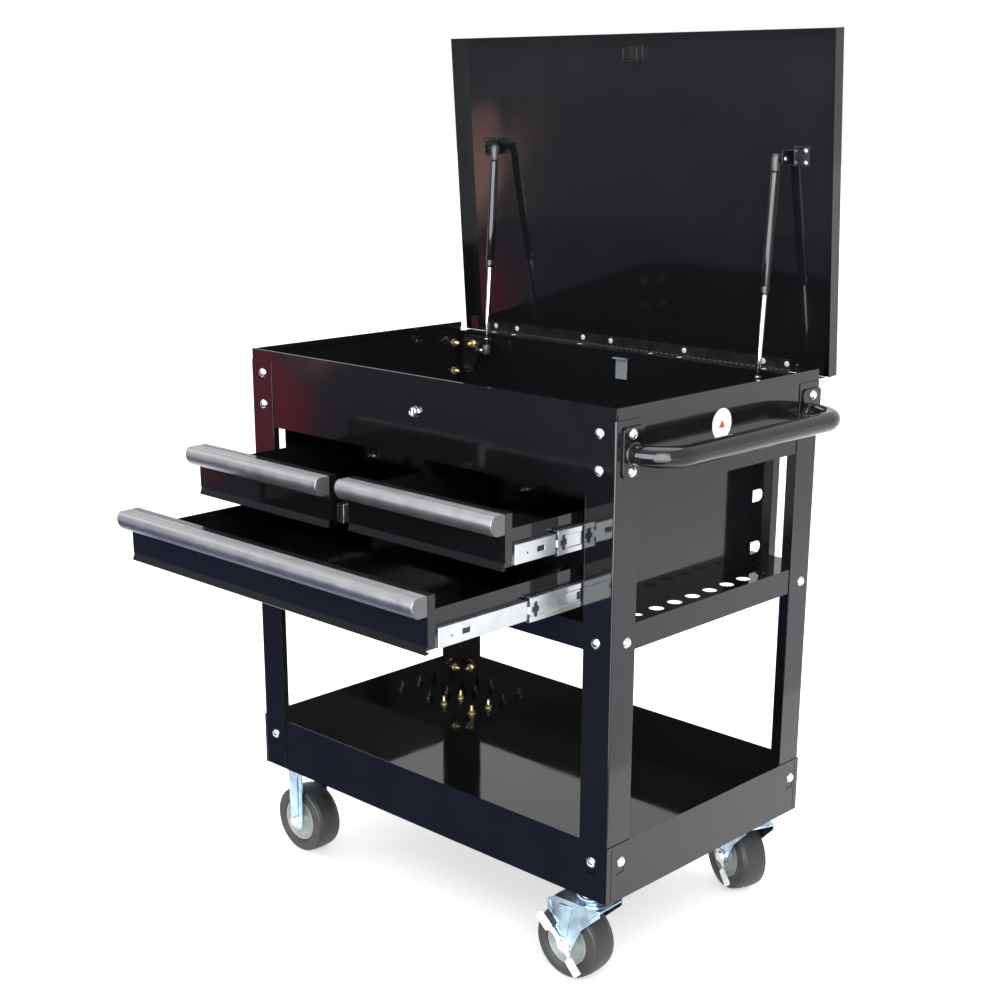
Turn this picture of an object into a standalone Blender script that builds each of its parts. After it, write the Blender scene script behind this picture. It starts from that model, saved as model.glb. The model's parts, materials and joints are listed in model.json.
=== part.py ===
"""Three-drawer service cart with a lidded top box, a side push handle and 5 inch casters.

The cart frame has X across the front (push handle at +X), Y from the front to the back
and Z up from the floor. The lid stands open and the three drawers are partly pulled out.
"""

import math

import bmesh
import bpy
from mathutils import Matrix, Vector

# ---------------------------------------------------------------- driving dimensions (metres)
CART_WIDTH = 0.838
CART_DEPTH = 0.5194
FIT_GAP = 0.0003
SHEET = 0.0012
THIN_SHEET = 0.0010
HEM_HEIGHT = 0.010
HEM_THICKNESS = 0.003

POST_SHEET = 0.0015
POST_FLANGE = 0.0555
POST_BOTTOM = 0.1735
POST_TOP = 0.9362

TRAY_BOTTOM = 0.172
TRAY_TOP = 0.269
TRAY_SIDE_FACE = 0.4205

SHELF_TOP = 0.623
SHELF_FLANGE_BOTTOM = 0.581
TOOL_HOLE_X = 0.393
TOOL_HOLE_FIRST_Y = -0.167
TOOL_HOLE_PITCH = 0.0455
TOOL_HOLE_COUNT = 8
TOOL_HOLE_RADIUS = 0.012
TOOL_HOLE_END_RADIUS = 0.0075

BOX_PANEL_BOTTOM = 0.821
BOX_FLOOR_BOTTOM = 0.825
RIM_HEIGHT = 0.9545
LEDGE_TOP = 0.9378
LEDGE_BACK = 0.2830

WALL_FACE = 0.350
WALL_FRONT = -0.2447
WALL_HOLE_Y = 0.202
WALL_HOLE_HEIGHTS = (0.7405, 0.6505)
WALL_HOLE_RADIUS = 0.0105
WALL_HOLE_STRAIGHT = 0.0185

DIVIDER_HALF = 0.0085
DIVIDER_FRONT = -0.233
DIVIDER_BACK = 0.178
DIVIDER_BOTTOM = 0.725

LID_WIDTH = 0.8445
LID_REACH = 0.5441
LID_RISE = 0.0220
LID_FLANGE_DROP = 0.0007
LID_BACK = 0.0025
LID_LIP_HEIGHT = 0.0022
LID_LIP_REACH = 0.0245
LID_LIP_HALF = 0.410
LID_OPEN_ANGLE = math.radians(85.8)
HINGE_Y = 0.281
HINGE_Z = 0.9405

KNUCKLE_RADIUS = 0.0019
KNUCKLE_BORE = 0.00115
HINGE_PIN_RADIUS = 0.0010
HINGE_LEAF_LEFT = -0.360
HINGE_LEAF_RIGHT = 0.345
HINGE_LEAF_FRONT = 0.262
HINGE_KNUCKLES = 7
HINGE_SIDES = 12
LEAF_SHEET = 0.0010
LEAF_LEVEL = 0.0005
BOX_LEAF_OVERLAP = 0.0006
LID_LEAF_OVERLAP = 0.0015

STRUT_X = 0.3165
STRUT_LOW_Y = 0.228
STRUT_LOW_Z = 0.9095
STRUT_TOP_Y = 0.251
STRUT_TOP_Z = 1.2855
STRUT_TUBE_RADIUS = 0.00775
STRUT_ROD_RADIUS = 0.0042
STRUT_BORE_RADIUS = 0.0047
STRUT_TUBE_LENGTH = 0.218
STRUT_ROD_IN_TUBE = 0.032
STRUT_SOCKET_RADIUS = 0.0075
STRUT_SIDES = 16
STRUT_STUD_RADIUS = 0.0045
STRUT_STUD_SIDES = 12
# Necks of the end sockets: distances from the pivot along the strut.
ROD_NECK_START = 0.009
ROD_NECK_SLOPE_END = 0.013
ROD_NECK_END = 0.028
ROD_NECK_RADIUS = 0.0057
TUBE_NECK_START = 0.010
TUBE_NECK_SLOPE_END = 0.014
TUBE_NECK_END = 0.020
TUBE_SHOULDER = 0.023
TUBE_NECK_RADIUS = 0.0052
TUBE_BORE_STOP = 0.030
STRUT_STUD_END = 0.333

LOCK_HEIGHT = 0.8966
LOCK_PLUG_RADIUS = 0.0062
LOCK_HOLE_RADIUS = 0.0066
LOCK_PLUG_PROUD = 0.0035
LOCK_PLUG_END = 0.0200
LOCK_CAM_HALF_WIDTH = 0.006
LOCK_CAM_DEPTHS = (0.0170, 0.0190)
LOCK_CAM_DROP = 0.005
LOCK_CAM_RISE = 0.026

DRAWER_FACE = -0.2597
DRAWER_RETURN = 0.014
DRAWER_BACK = 0.165
DRAWER_WALL = 0.336
DRAWER_INNER_WALL = 0.0215
# Finger lip under a drawer front: (y from the front face, z from its bottom edge).
LIP_OUTLINE = (
    (0.0002, 0.0040), (0.0002, 0.0), (-0.0040, -0.0110), (-0.0030, -0.0120), (0.0045, -0.0100),
    (0.0045, -0.0090), (-0.0022, -0.0108), (0.0010, -0.0002), (0.0010, 0.0040),
)
LIP_END_SETBACK = 0.002
PULL_HEIGHT = 0.030
PULL_DEPTH = 0.028
PULL_MIDDLE = 0.0135
PULL_NOSE_DEPTH = 0.010
PULL_NOSE_HALF_HEIGHT = 0.0135
# Underside of the pull's nose: (y from the foremost point, z from the middle).
PULL_UNDERSIDE = ((0.0020, -0.0070), (0.0060, -0.0130), (0.0100, -0.0165))

SLIDE_SHEET = 0.0010
SLIDE_FRONT = -0.232
SLIDE_BACK = 0.174
SLIDE_INNER_FRONT = -0.2337
SLIDE_INNER_BACK = 0.1723
SLIDE_MIDDLE_LENGTH = 0.375
SLIDE_OUTER_HEIGHT = 0.0455
SLIDE_MIDDLE_HEIGHT = 0.0385
SLIDE_INNER_HEIGHT = 0.0300
UPPER_SLIDE_Z = 0.751
WIDE_SLIDE_Z = 0.6615

HANDLE_RADIUS = 0.016
HANDLE_BORE = 0.0140
HANDLE_X = 0.4825
HANDLE_Z = 0.8845
HANDLE_BEND = 0.052
HANDLE_FRONT_Y = -0.2225
HANDLE_BACK_Y = 0.2350
HANDLE_PLATE_THICKNESS = 0.0035
HANDLE_PLATE_WIDTH = 0.048
HANDLE_PLATE_BOTTOM = 0.8505
HANDLE_PLATE_TOP = 0.9255
HANDLE_SIDES = 14
HANDLE_BORE_SIDES = 10
HANDLE_WELD_DEPTH = 0.001

WHEEL_RADIUS = 0.0635
TYRE_INNER_RADIUS = 0.0405
TYRE_SIDES = 32
HUB_SIDES = 20
# Lower halves of the turned tyre and hub: (radius, along the axle from the middle plane).
TYRE_PROFILE = (
    (TYRE_INNER_RADIUS, -0.0235), (0.0470, -0.0250), (0.0585, -0.0250), (0.0620, -0.0215),
    (WHEEL_RADIUS, -0.0160),
)
HUB_PROFILE = (
    (0.0063, -0.0270), (0.0140, -0.0270), (0.0190, -0.0180), (0.0330, -0.0180), (0.0365, -0.0232),
    (0.0396, -0.0232),
)
CASTER_X = 0.358
CASTER_Y = 0.212
CASTER_TRAIL = 0.038
CASTER_PLATE_LENGTH = 0.102
CASTER_PLATE_WIDTH = 0.070
CASTER_PLATE_TOP = 0.1717
FORK_LEG_INNER = 0.0285
FORK_LEG_OUTER = 0.0315
FORK_CROWN_TOP = 0.1445
FORK_CROWN = (-0.060, 0.034)
FORK_CROWN_SHEET = 0.0035
FORK_EYE_RADIUS = 0.016
LEG_OVERLAP = 0.001
FORK_SHEET_STEP = 0.0002
RIGID_LEG_HALF_WIDTH = 0.019
CASTER_PLATE_SHEET = 0.0035
# Pressed leg of a swivel fork about its kingpin: (along, up from the crown), rear and front edges.
SWIVEL_LEG_REAR = ((-0.075, -0.012), (-0.075, -0.018), (-0.068, -0.037))
SWIVEL_LEG_FRONT = ((-0.001, -0.0445), (0.033, -0.010), (0.033, -0.001), (-0.059, -0.001))
# Turned raceway under a swivel plate: (radius, down from the plate's top).
RACEWAY_PROFILE = ((0.0, -0.002), (0.024, -0.002), (0.031, -0.010), (0.031, -0.018))
RACEWAY_FOOT_RADIUS = 0.026
RACEWAY_SIDES = 24
AXLE_RADIUS = 0.006
AXLE_HEAD_RADIUS = 0.0095
AXLE_HEAD_LENGTH = 0.006
AXLE_SIDES = 18
SEAT_DEPTH = 0.0005

# Brake lever: a disc on the axle, two narrow arms and a foot pad stepped outwards on each.
BRAKE_INNER = 0.0320
BRAKE_OUTER = 0.0345
BRAKE_DISC_RADIUS = 0.013
BRAKE_ARM_WIDTH = 0.008
BRAKE_ARM_LENGTH = 0.030
BRAKE_STEP = 0.003
BRAKE_PAD_WIDTH = 0.017
BRAKE_PAD_INNER = 0.0385
BRAKE_PAD_OUTER = 0.0410
BRAKE_PAD_ENDS = {136: 0.0640, -48: 0.0550}

# Each drawer: front panel from left to right, its top and bottom edges, pan sides, wall top,
# underside, how far it is pulled out and where its intermediate slides' front ends are.
DRAWERS = {
    "upper_left": {
        "front": (-0.350, -0.0136),
        "pan": (-DRAWER_WALL, -DRAWER_INNER_WALL),
        "top": 0.8166,
        "bottom": 0.7445,
        "wall_top": 0.7885,
        "floor": 0.7325,
        "pulled": 0.170,
        "slide_z": UPPER_SLIDE_Z,
        "middle_front": -0.308,
    },
    "upper_right": {
        "front": (0.0136, 0.350),
        "pan": (DRAWER_INNER_WALL, DRAWER_WALL),
        "top": 0.8166,
        "bottom": 0.7445,
        "wall_top": 0.7885,
        "floor": 0.7325,
        "pulled": 0.1565,
        "slide_z": UPPER_SLIDE_Z,
        "middle_front": -0.301,
    },
    "wide": {
        "front": (-0.351, 0.351),
        "pan": (-DRAWER_WALL, DRAWER_WALL),
        "top": 0.7303,
        "bottom": 0.6563,
        "wall_top": 0.7025,
        "floor": 0.6448,
        "pulled": 0.310,
        "slide_z": WIDE_SLIDE_Z,
        "middle_front": -0.360,
    },
}

# Each caster: which side and end it is on, whether it swivels, and its heading about Z.
CASTERS = {
    "front_left": {"side": -1, "end": -1, "swivels": False, "heading": 0.0},
    "rear_left": {"side": -1, "end": 1, "swivels": False, "heading": 0.0},
    "front_right": {"side": 1, "end": -1, "swivels": True, "heading": math.radians(2.5)},
    "rear_right": {"side": 1, "end": 1, "swivels": True, "heading": math.radians(-21.5)},
}


# ---------------------------------------------------------------- scene and materials
def clear_scene():
    for thing in list(bpy.data.objects):
        bpy.data.objects.remove(thing, do_unlink=True)


def make_material(name, colour, roughness, metallic):
    """A Principled material with one colour, roughness and metallic value."""
    material = bpy.data.materials.new(name)
    material.use_nodes = True
    shader = material.node_tree.nodes["Principled BSDF"]
    shader.inputs["Base Color"].default_value = (*colour, 1.0)
    shader.inputs["Roughness"].default_value = roughness
    shader.inputs["Metallic"].default_value = metallic
    return material


# ---------------------------------------------------------------- solids as bmesh
def box(x_span, y_span, z_span):
    """A box as three (low, high) spans, in either order."""
    return tuple(tuple(sorted(span)) for span in (x_span, y_span, z_span))


def boxes_solid(boxes):
    """The union of axis-aligned boxes as one closed mesh with its flat faces merged."""
    cuts = [sorted({round(edge, 7) for item in boxes for edge in item[axis]}) for axis in range(3)]
    filled = set()
    for i in range(len(cuts[0]) - 1):
        for j in range(len(cuts[1]) - 1):
            for k in range(len(cuts[2]) - 1):
                centre = [(cuts[axis][n] + cuts[axis][n + 1]) / 2 for axis, n in enumerate((i, j, k))]
                if any(all(item[a][0] < centre[a] < item[a][1] for a in range(3)) for item in boxes):
                    filled.add((i, j, k))
    solid = bmesh.new()
    corners = {}

    def corner(key):
        if key not in corners:
            corners[key] = solid.verts.new([cuts[axis][key[axis]] for axis in range(3)])
        return corners[key]

    for cell in sorted(filled):
        for axis in range(3):
            for step in (-1, 1):
                neighbour = list(cell)
                neighbour[axis] += step
                if tuple(neighbour) in filled:
                    continue
                first = (axis + 1) % 3
                second = (axis + 2) % 3
                ring = []
                for along_first, along_second in ((0, 0), (1, 0), (1, 1), (0, 1)):
                    key = list(cell)
                    key[axis] += (step + 1) // 2
                    key[first] += along_first
                    key[second] += along_second
                    ring.append(corner(tuple(key)))
                solid.faces.new(ring if step > 0 else ring[::-1])
    bmesh.ops.dissolve_limit(solid, angle_limit=0.01, verts=solid.verts, edges=solid.edges)
    return solid


def prism(outline, axis, low, high):
    """A straight prism: an outline in the plane across the axis, from low to high along it."""
    solid = bmesh.new()
    rings = []
    for level in (low, high):
        ring = []
        for point in outline:
            place = list(point)
            place.insert(axis, level)
            ring.append(solid.verts.new(place))
        rings.append(ring)
    count = len(outline)
    for n in range(count):
        after = (n + 1) % count
        solid.faces.new((rings[0][n], rings[0][after], rings[1][after], rings[1][n]))
    solid.faces.new(rings[0][::-1])
    solid.faces.new(rings[1])
    bmesh.ops.recalc_face_normals(solid, faces=solid.faces)
    return solid


def turned(profile, axis, sides, closed=False):
    """A turned solid: (radius, along) points about an axis through the origin.

    An open profile starts and ends on the axis; a closed one makes a ring with a bore.
    """
    solid = bmesh.new()
    rings = []
    for radius, along in profile:
        ring = []
        for n in range(1 if radius == 0 else sides):
            angle = 2 * math.pi * n / sides
            place = [radius * math.cos(angle), radius * math.sin(angle)]
            place.insert(axis, along)
            ring.append(solid.verts.new(place))
        rings.append(ring)
    pairs = list(zip(rings, rings[1:]))
    if closed:
        pairs.append((rings[-1], rings[0]))
    for one, two in pairs:
        for n in range(sides):
            after = (n + 1) % sides
            ring = [one[n % len(one)], one[after % len(one)], two[after % len(two)], two[n % len(two)]]
            solid.faces.new(list(dict.fromkeys(ring)))
    bmesh.ops.recalc_face_normals(solid, faces=solid.faces)
    return solid


def swept_round(path, radius, sides):
    """A round bar along a flat path at one height, with closed ends."""
    solid = bmesh.new()
    rings = []
    last = len(path) - 1
    for n, centre in enumerate(path):
        heading = (path[min(n + 1, last)] - path[max(n - 1, 0)]).normalized()
        across = heading.cross(Vector((0, 0, 1)))
        ring = []
        for side in range(sides):
            angle = 2 * math.pi * side / sides
            offset = across * math.cos(angle) + Vector((0, 0, 1)) * math.sin(angle)
            ring.append(solid.verts.new(centre + offset * radius))
        rings.append(ring)
    for one, two in zip(rings, rings[1:]):
        for side in range(sides):
            after = (side + 1) % sides
            solid.faces.new((one[side], one[after], two[after], two[side]))
    solid.faces.new(rings[0][::-1])
    solid.faces.new(rings[-1])
    bmesh.ops.recalc_face_normals(solid, faces=solid.faces)
    return solid


def moved(solid, offset):
    bmesh.ops.translate(solid, verts=solid.verts, vec=offset)
    return solid


def arc(centre, radius, start, end, steps):
    """Points of a circular arc in a plane; the angles are in degrees."""
    points = []
    for n in range(steps + 1):
        angle = math.radians(start + (end - start) * n / steps)
        points.append((centre[0] + radius * math.cos(angle), centre[1] + radius * math.sin(angle)))
    return points


# ---------------------------------------------------------------- objects
def place(name, solid, material, parent, origin=(0, 0, 0), rotation=(0, 0, 0), local=False):
    """Makes the named object with its origin where its joint axis is.

    The solid is in cart coordinates unless it is local, which means about the origin.
    """
    if not local:
        moved(solid, -Vector(origin))
    mesh = bpy.data.meshes.new(name)
    solid.to_mesh(mesh)
    solid.free()
    mesh.materials.append(material)
    mesh.shade_smooth()
    mesh.set_sharp_from_angle(angle=math.radians(35))
    thing = bpy.data.objects.new(name, mesh)
    bpy.context.collection.objects.link(thing)
    thing.parent = parent
    thing.location = origin
    thing.rotation_euler = rotation
    return thing


def combine(thing, solid, operation, local=False):
    """Adds a Boolean of another solid, held by a hidden wire helper that moves with the object."""
    if not local:
        moved(solid, -Vector(thing.location))
    helper_name = f"{thing.name}_helper_{len(thing.children)}"
    mesh = bpy.data.meshes.new(helper_name)
    solid.to_mesh(mesh)
    solid.free()
    helper = bpy.data.objects.new(helper_name, mesh)
    bpy.context.collection.objects.link(helper)
    helper.parent = thing
    helper.hide_render = True
    helper.display_type = "WIRE"
    modifier = thing.modifiers.new(helper_name, "BOOLEAN")
    modifier.operation = operation
    modifier.solver = "EXACT"
    modifier.object = helper


# ---------------------------------------------------------------- frame and cabinet
def make_posts(root, paint):
    """Four corner posts, each a bent L of sheet outside the panels."""
    half_width = CART_WIDTH / 2
    half_depth = CART_DEPTH / 2
    heights = (POST_BOTTOM, POST_TOP)
    for end, end_name in ((-1, "front"), (1, "rear")):
        for side, side_name in ((-1, "left"), (1, "right")):
            legs = [
                box((side * (half_width - POST_FLANGE), side * half_width),
                    (end * (half_depth - POST_SHEET), end * half_depth), heights),
                box((side * (half_width - POST_SHEET), side * half_width),
                    (end * (half_depth - POST_FLANGE), end * half_depth), heights),
            ]
            place(f"post_{end_name}_{side_name}", boxes_solid(legs), paint, root)


def inside_post_x():
    """Half the width between the posts' inner faces, less the fitting gap."""
    return CART_WIDTH / 2 - POST_SHEET - FIT_GAP


def inside_post_y():
    """Half the depth between the posts' inner faces, less the fitting gap."""
    return CART_DEPTH / 2 - POST_SHEET - FIT_GAP


def make_bottom_tray(root, paint):
    """Bottom tray: front and back flanges inside the posts, side flanges outside them."""
    face_y = inside_post_y()
    heights = (TRAY_BOTTOM, TRAY_TOP)
    pieces = [
        box((-TRAY_SIDE_FACE, TRAY_SIDE_FACE), (-face_y, face_y), (TRAY_BOTTOM, TRAY_BOTTOM + SHEET)),
    ]
    for sign in (-1, 1):
        pieces.append(box((sign * (TRAY_SIDE_FACE - SHEET), sign * TRAY_SIDE_FACE),
                          (-CART_DEPTH / 2, CART_DEPTH / 2), heights))
        pieces.append(box((-inside_post_x(), inside_post_x()),
                          (sign * (face_y - SHEET), sign * face_y), heights))
    place("bottom_tray", boxes_solid(pieces), paint, root)


def make_middle_shelf(root, paint):
    """Middle shelf: a pan turned upside down, with a row of tool holes beside the cabinet."""
    face_x = inside_post_x()
    face_y = inside_post_y()
    heights = (SHELF_FLANGE_BOTTOM, SHELF_TOP)
    pieces = [box((-face_x, face_x), (-face_y, face_y), (SHELF_TOP - SHEET, SHELF_TOP))]
    for sign in (-1, 1):
        pieces.append(box((sign * (face_x - SHEET), sign * face_x), (-face_y, face_y), heights))
        pieces.append(box((-face_x, face_x), (sign * (face_y - SHEET), sign * face_y), heights))
    shelf = place("middle_shelf", boxes_solid(pieces), paint, root)
    for n in range(TOOL_HOLE_COUNT):
        at_end = n in (0, TOOL_HOLE_COUNT - 1)
        radius = TOOL_HOLE_END_RADIUS if at_end else TOOL_HOLE_RADIUS
        centre = (TOOL_HOLE_X, TOOL_HOLE_FIRST_Y + n * TOOL_HOLE_PITCH)
        outline = arc(centre, radius, 0, 337.5, 15)
        combine(shelf, prism(outline, 2, SHELF_TOP - 2 * SHEET, SHELF_TOP + SHEET), "DIFFERENCE")


def make_top_box(root, paint):
    """Top box: front and side panels with hemmed rims, and a folded sheet of back, ledge and floor."""
    face_x = inside_post_x()
    face_y = inside_post_y()
    heights = (BOX_PANEL_BOTTOM, RIM_HEIGHT)
    hem = (RIM_HEIGHT - HEM_HEIGHT, RIM_HEIGHT)
    front = [
        box((-face_x, face_x), (-face_y, -face_y + SHEET), heights),
        box((-face_x, face_x), (-face_y, -face_y + HEM_THICKNESS), hem),
    ]
    panel = place("box_front_panel", boxes_solid(front), paint, root)
    lock_hole = arc((0, LOCK_HEIGHT), LOCK_HOLE_RADIUS, 0, 337.5, 15)
    combine(panel, prism(lock_hole, 1, -face_y - SHEET, -face_y + 2 * SHEET), "DIFFERENCE")
    side_front = -face_y + HEM_THICKNESS + FIT_GAP
    for sign, name in ((-1, "box_left_panel"), (1, "box_right_panel")):
        side = [
            box((sign * (face_x - SHEET), sign * face_x), (side_front, face_y), heights),
            box((sign * (face_x - HEM_THICKNESS), sign * face_x), (side_front, face_y), hem),
        ]
        place(name, boxes_solid(side), paint, root)
    inner_x = face_x - SHEET - FIT_GAP
    ledge_x = face_x - HEM_THICKNESS - FIT_GAP
    back = [
        box((-inner_x, inner_x), (-face_y + SHEET + FIT_GAP, face_y),
            (BOX_FLOOR_BOTTOM, BOX_FLOOR_BOTTOM + SHEET)),
        box((-inner_x, inner_x), (face_y - SHEET, face_y), (BOX_FLOOR_BOTTOM, LEDGE_TOP)),
        box((-ledge_x, ledge_x), (face_y - SHEET, LEDGE_BACK), (LEDGE_TOP - SHEET, LEDGE_TOP)),
    ]
    place("box_back_and_floor", boxes_solid(back), paint, root)


def make_cabinet_walls(root, paint):
    """Cabinet side walls, each with two D-shaped hand holes near the back."""
    for sign, name in ((-1, "cabinet_wall_left"), (1, "cabinet_wall_right")):
        sheet = [box((sign * (WALL_FACE - SHEET), sign * WALL_FACE), (WALL_FRONT, inside_post_y()),
                     (SHELF_TOP + FIT_GAP, BOX_FLOOR_BOTTOM - FIT_GAP))]
        wall = place(name, boxes_solid(sheet), paint, root)
        for height in WALL_HOLE_HEIGHTS:
            outline = [(WALL_HOLE_Y - WALL_HOLE_STRAIGHT, height - WALL_HOLE_RADIUS)]
            outline += arc((WALL_HOLE_Y, height), WALL_HOLE_RADIUS, -90, 90, 10)
            outline.append((WALL_HOLE_Y - WALL_HOLE_STRAIGHT, height + WALL_HOLE_RADIUS))
            cutter = prism(outline, 0, sign * (WALL_FACE - 2 * SHEET), sign * (WALL_FACE + SHEET))
            combine(wall, cutter, "DIFFERENCE")


# ---------------------------------------------------------------- drawer slides
# Distance of each member's web from the fixed side, and how far its flanges reach.
SLIDE_DEPTHS = {"outer": (0.0003, 0.0103), "middle": (0.0021, 0.0108), "inner": (0.0039, 0.0125)}
SLIDE_HEIGHTS = {
    "outer": SLIDE_OUTER_HEIGHT,
    "middle": SLIDE_MIDDLE_HEIGHT,
    "inner": SLIDE_INNER_HEIGHT,
}


def slide_boxes(member, fixed_x, toward, mid_z, y_span, web_start=None):
    """One C-shaped slide member that opens towards the drawer, as three boxes."""
    start, reach = SLIDE_DEPTHS[member]
    if web_start is not None:
        start = web_start
    half = SLIDE_HEIGHTS[member] / 2
    near = fixed_x + toward * start
    far = fixed_x + toward * reach
    web_end = fixed_x + toward * (start + SLIDE_SHEET)
    return [
        box((near, web_end), y_span, (mid_z - half, mid_z + half)),
        box((near, far), y_span, (mid_z + half - SLIDE_SHEET, mid_z + half)),
        box((near, far), y_span, (mid_z - half, mid_z - half + SLIDE_SHEET)),
    ]


def slide_sides(drawer):
    """The fixed plane and the direction towards the drawer, for its left and right slides."""
    left_fixed = -(WALL_FACE - SHEET) if drawer["pan"][0] == -DRAWER_WALL else DIVIDER_HALF
    right_fixed = WALL_FACE - SHEET if drawer["pan"][1] == DRAWER_WALL else -DIVIDER_HALF
    return (("left", left_fixed, 1), ("right", right_fixed, -1))


def make_divider(root, paint):
    """Hanging channel between the upper drawers, with a fixed slide member on each side."""
    half = DIVIDER_HALF
    top = BOX_FLOOR_BOTTOM - FIT_GAP
    heights = (DIVIDER_BOTTOM, top)
    depth = (DIVIDER_FRONT, DIVIDER_BACK)
    pieces = [
        box((-half, half), (DIVIDER_FRONT, DIVIDER_FRONT + SHEET), heights),
        box((-half, half), depth, (top - SHEET, top)),
    ]
    for sign in (-1, 1):
        pieces.append(box((sign * (half - SHEET), sign * half), depth, heights))
        pieces += slide_boxes("outer", sign * half, sign, UPPER_SLIDE_Z, (SLIDE_FRONT, SLIDE_BACK), 0.0)
    place("drawer_divider", boxes_solid(pieces), paint, root)


def make_slides(root, zinc):
    """The fixed, intermediate and drawer members of every slide."""
    for name, drawer in DRAWERS.items():
        middle_span = (drawer["middle_front"], drawer["middle_front"] + SLIDE_MIDDLE_LENGTH)
        inner_span = (SLIDE_INNER_FRONT - drawer["pulled"], SLIDE_INNER_BACK - drawer["pulled"])
        for side, fixed_x, toward in slide_sides(drawer):
            mid_z = drawer["slide_z"]
            if abs(fixed_x) > DIVIDER_HALF:
                fixed = slide_boxes("outer", fixed_x, toward, mid_z, (SLIDE_FRONT, SLIDE_BACK))
                place(f"slide_outer_{name}_{side}", boxes_solid(fixed), zinc, root)
            for member, span in (("middle", middle_span), ("inner", inner_span)):
                pieces = slide_boxes(member, fixed_x, toward, mid_z, span)
                place(f"slide_{member}_{name}_{side}", boxes_solid(pieces), zinc, root)


# ---------------------------------------------------------------- drawers
def make_drawer_pan(name, drawer, root, paint):
    """One folded drawer: hollow front with returns, pan, and a flared finger lip under the front."""
    face = DRAWER_FACE - drawer["pulled"]
    back = DRAWER_BACK - drawer["pulled"]
    front_x = drawer["front"]
    pan_x = drawer["pan"]
    top = drawer["top"]
    bottom = drawer["bottom"]
    floor = drawer["floor"]
    wall = (floor, drawer["wall_top"])
    inner_front = face + DRAWER_RETURN - SHEET
    pieces = [
        box(front_x, (face, face + SHEET), (bottom, top)),
        box(front_x, (face, face + DRAWER_RETURN), (top - SHEET, top)),
        box((front_x[0], front_x[0] + SHEET), (face, face + DRAWER_RETURN), (bottom, top)),
        box((front_x[1] - SHEET, front_x[1]), (face, face + DRAWER_RETURN), (bottom, top)),
        box(pan_x, (inner_front, inner_front + SHEET), (floor, top)),
        box(pan_x, (inner_front, back), (floor, floor + THIN_SHEET)),
        box(pan_x, (back - THIN_SHEET, back), wall),
        box((pan_x[0], pan_x[0] + THIN_SHEET), (inner_front, back), wall),
        box((pan_x[1] - THIN_SHEET, pan_x[1]), (inner_front, back), wall),
    ]
    pan = place(f"drawer_{name}", boxes_solid(pieces), paint, root, origin=(0, face, floor))
    lip = [(face + y, bottom + z) for y, z in LIP_OUTLINE]
    combine(pan, prism(lip, 0, front_x[0] + LIP_END_SETBACK, front_x[1] - LIP_END_SETBACK), "UNION")


def make_drawer_pull(name, drawer, root, aluminium):
    """Extruded pull along the whole drawer front: flat top, swelling front and narrow bottom."""
    face = DRAWER_FACE - drawer["pulled"] - FIT_GAP
    top = drawer["top"]
    middle = top - PULL_MIDDLE
    front = face - PULL_DEPTH + FIT_GAP
    outline = [(face, top)]
    for across, up in arc((0, 0), 1.0, 90, 180, 6):
        outline.append((front + PULL_NOSE_DEPTH * (1 + across), middle + PULL_NOSE_HALF_HEIGHT * up))
    outline += [(front + y, middle + z) for y, z in PULL_UNDERSIDE]
    outline.append((face, top - PULL_HEIGHT))
    pull = prism(outline, 0, drawer["front"][0], drawer["front"][1])
    place(f"drawer_pull_{name}", pull, aluminium, root, origin=(0, face, top))


# ---------------------------------------------------------------- lid, hinge and struts
def make_lid(root, paint):
    """Shallow lid pan, modelled shut about its hinge axis and then swung open."""
    half = LID_WIDTH / 2
    reach = -LID_REACH
    pieces = [
        box((-half, half), (reach, LID_BACK), (LID_RISE - THIN_SHEET, LID_RISE)),
        box((-half, half), (reach, reach + THIN_SHEET), (-LID_FLANGE_DROP, LID_RISE)),
        box((-half, half), (LID_BACK - THIN_SHEET, LID_BACK), (LID_LIP_HEIGHT, LID_RISE)),
        box((-LID_LIP_HALF, LID_LIP_HALF), (-LID_LIP_REACH, LID_BACK),
            (LID_LIP_HEIGHT, LID_LIP_HEIGHT + THIN_SHEET)),
    ]
    for sign in (-1, 1):
        pieces.append(box((sign * (half - THIN_SHEET), sign * half), (reach, LID_BACK),
                          (-LID_FLANGE_DROP, LID_RISE)))
    place("lid_pan", boxes_solid(pieces), paint, root, origin=(0, HINGE_Y, HINGE_Z),
          rotation=(-LID_OPEN_ANGLE, 0, 0), local=True)


def knuckle_spans(first):
    """The X spans of every second hinge knuckle, from the first one given."""
    pitch = (HINGE_LEAF_RIGHT - HINGE_LEAF_LEFT) / HINGE_KNUCKLES
    spans = []
    for n in range(first, HINGE_KNUCKLES, 2):
        low = HINGE_LEAF_LEFT + n * pitch + FIT_GAP
        spans.append((low, low + pitch - 2 * FIT_GAP))
    return spans


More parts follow.
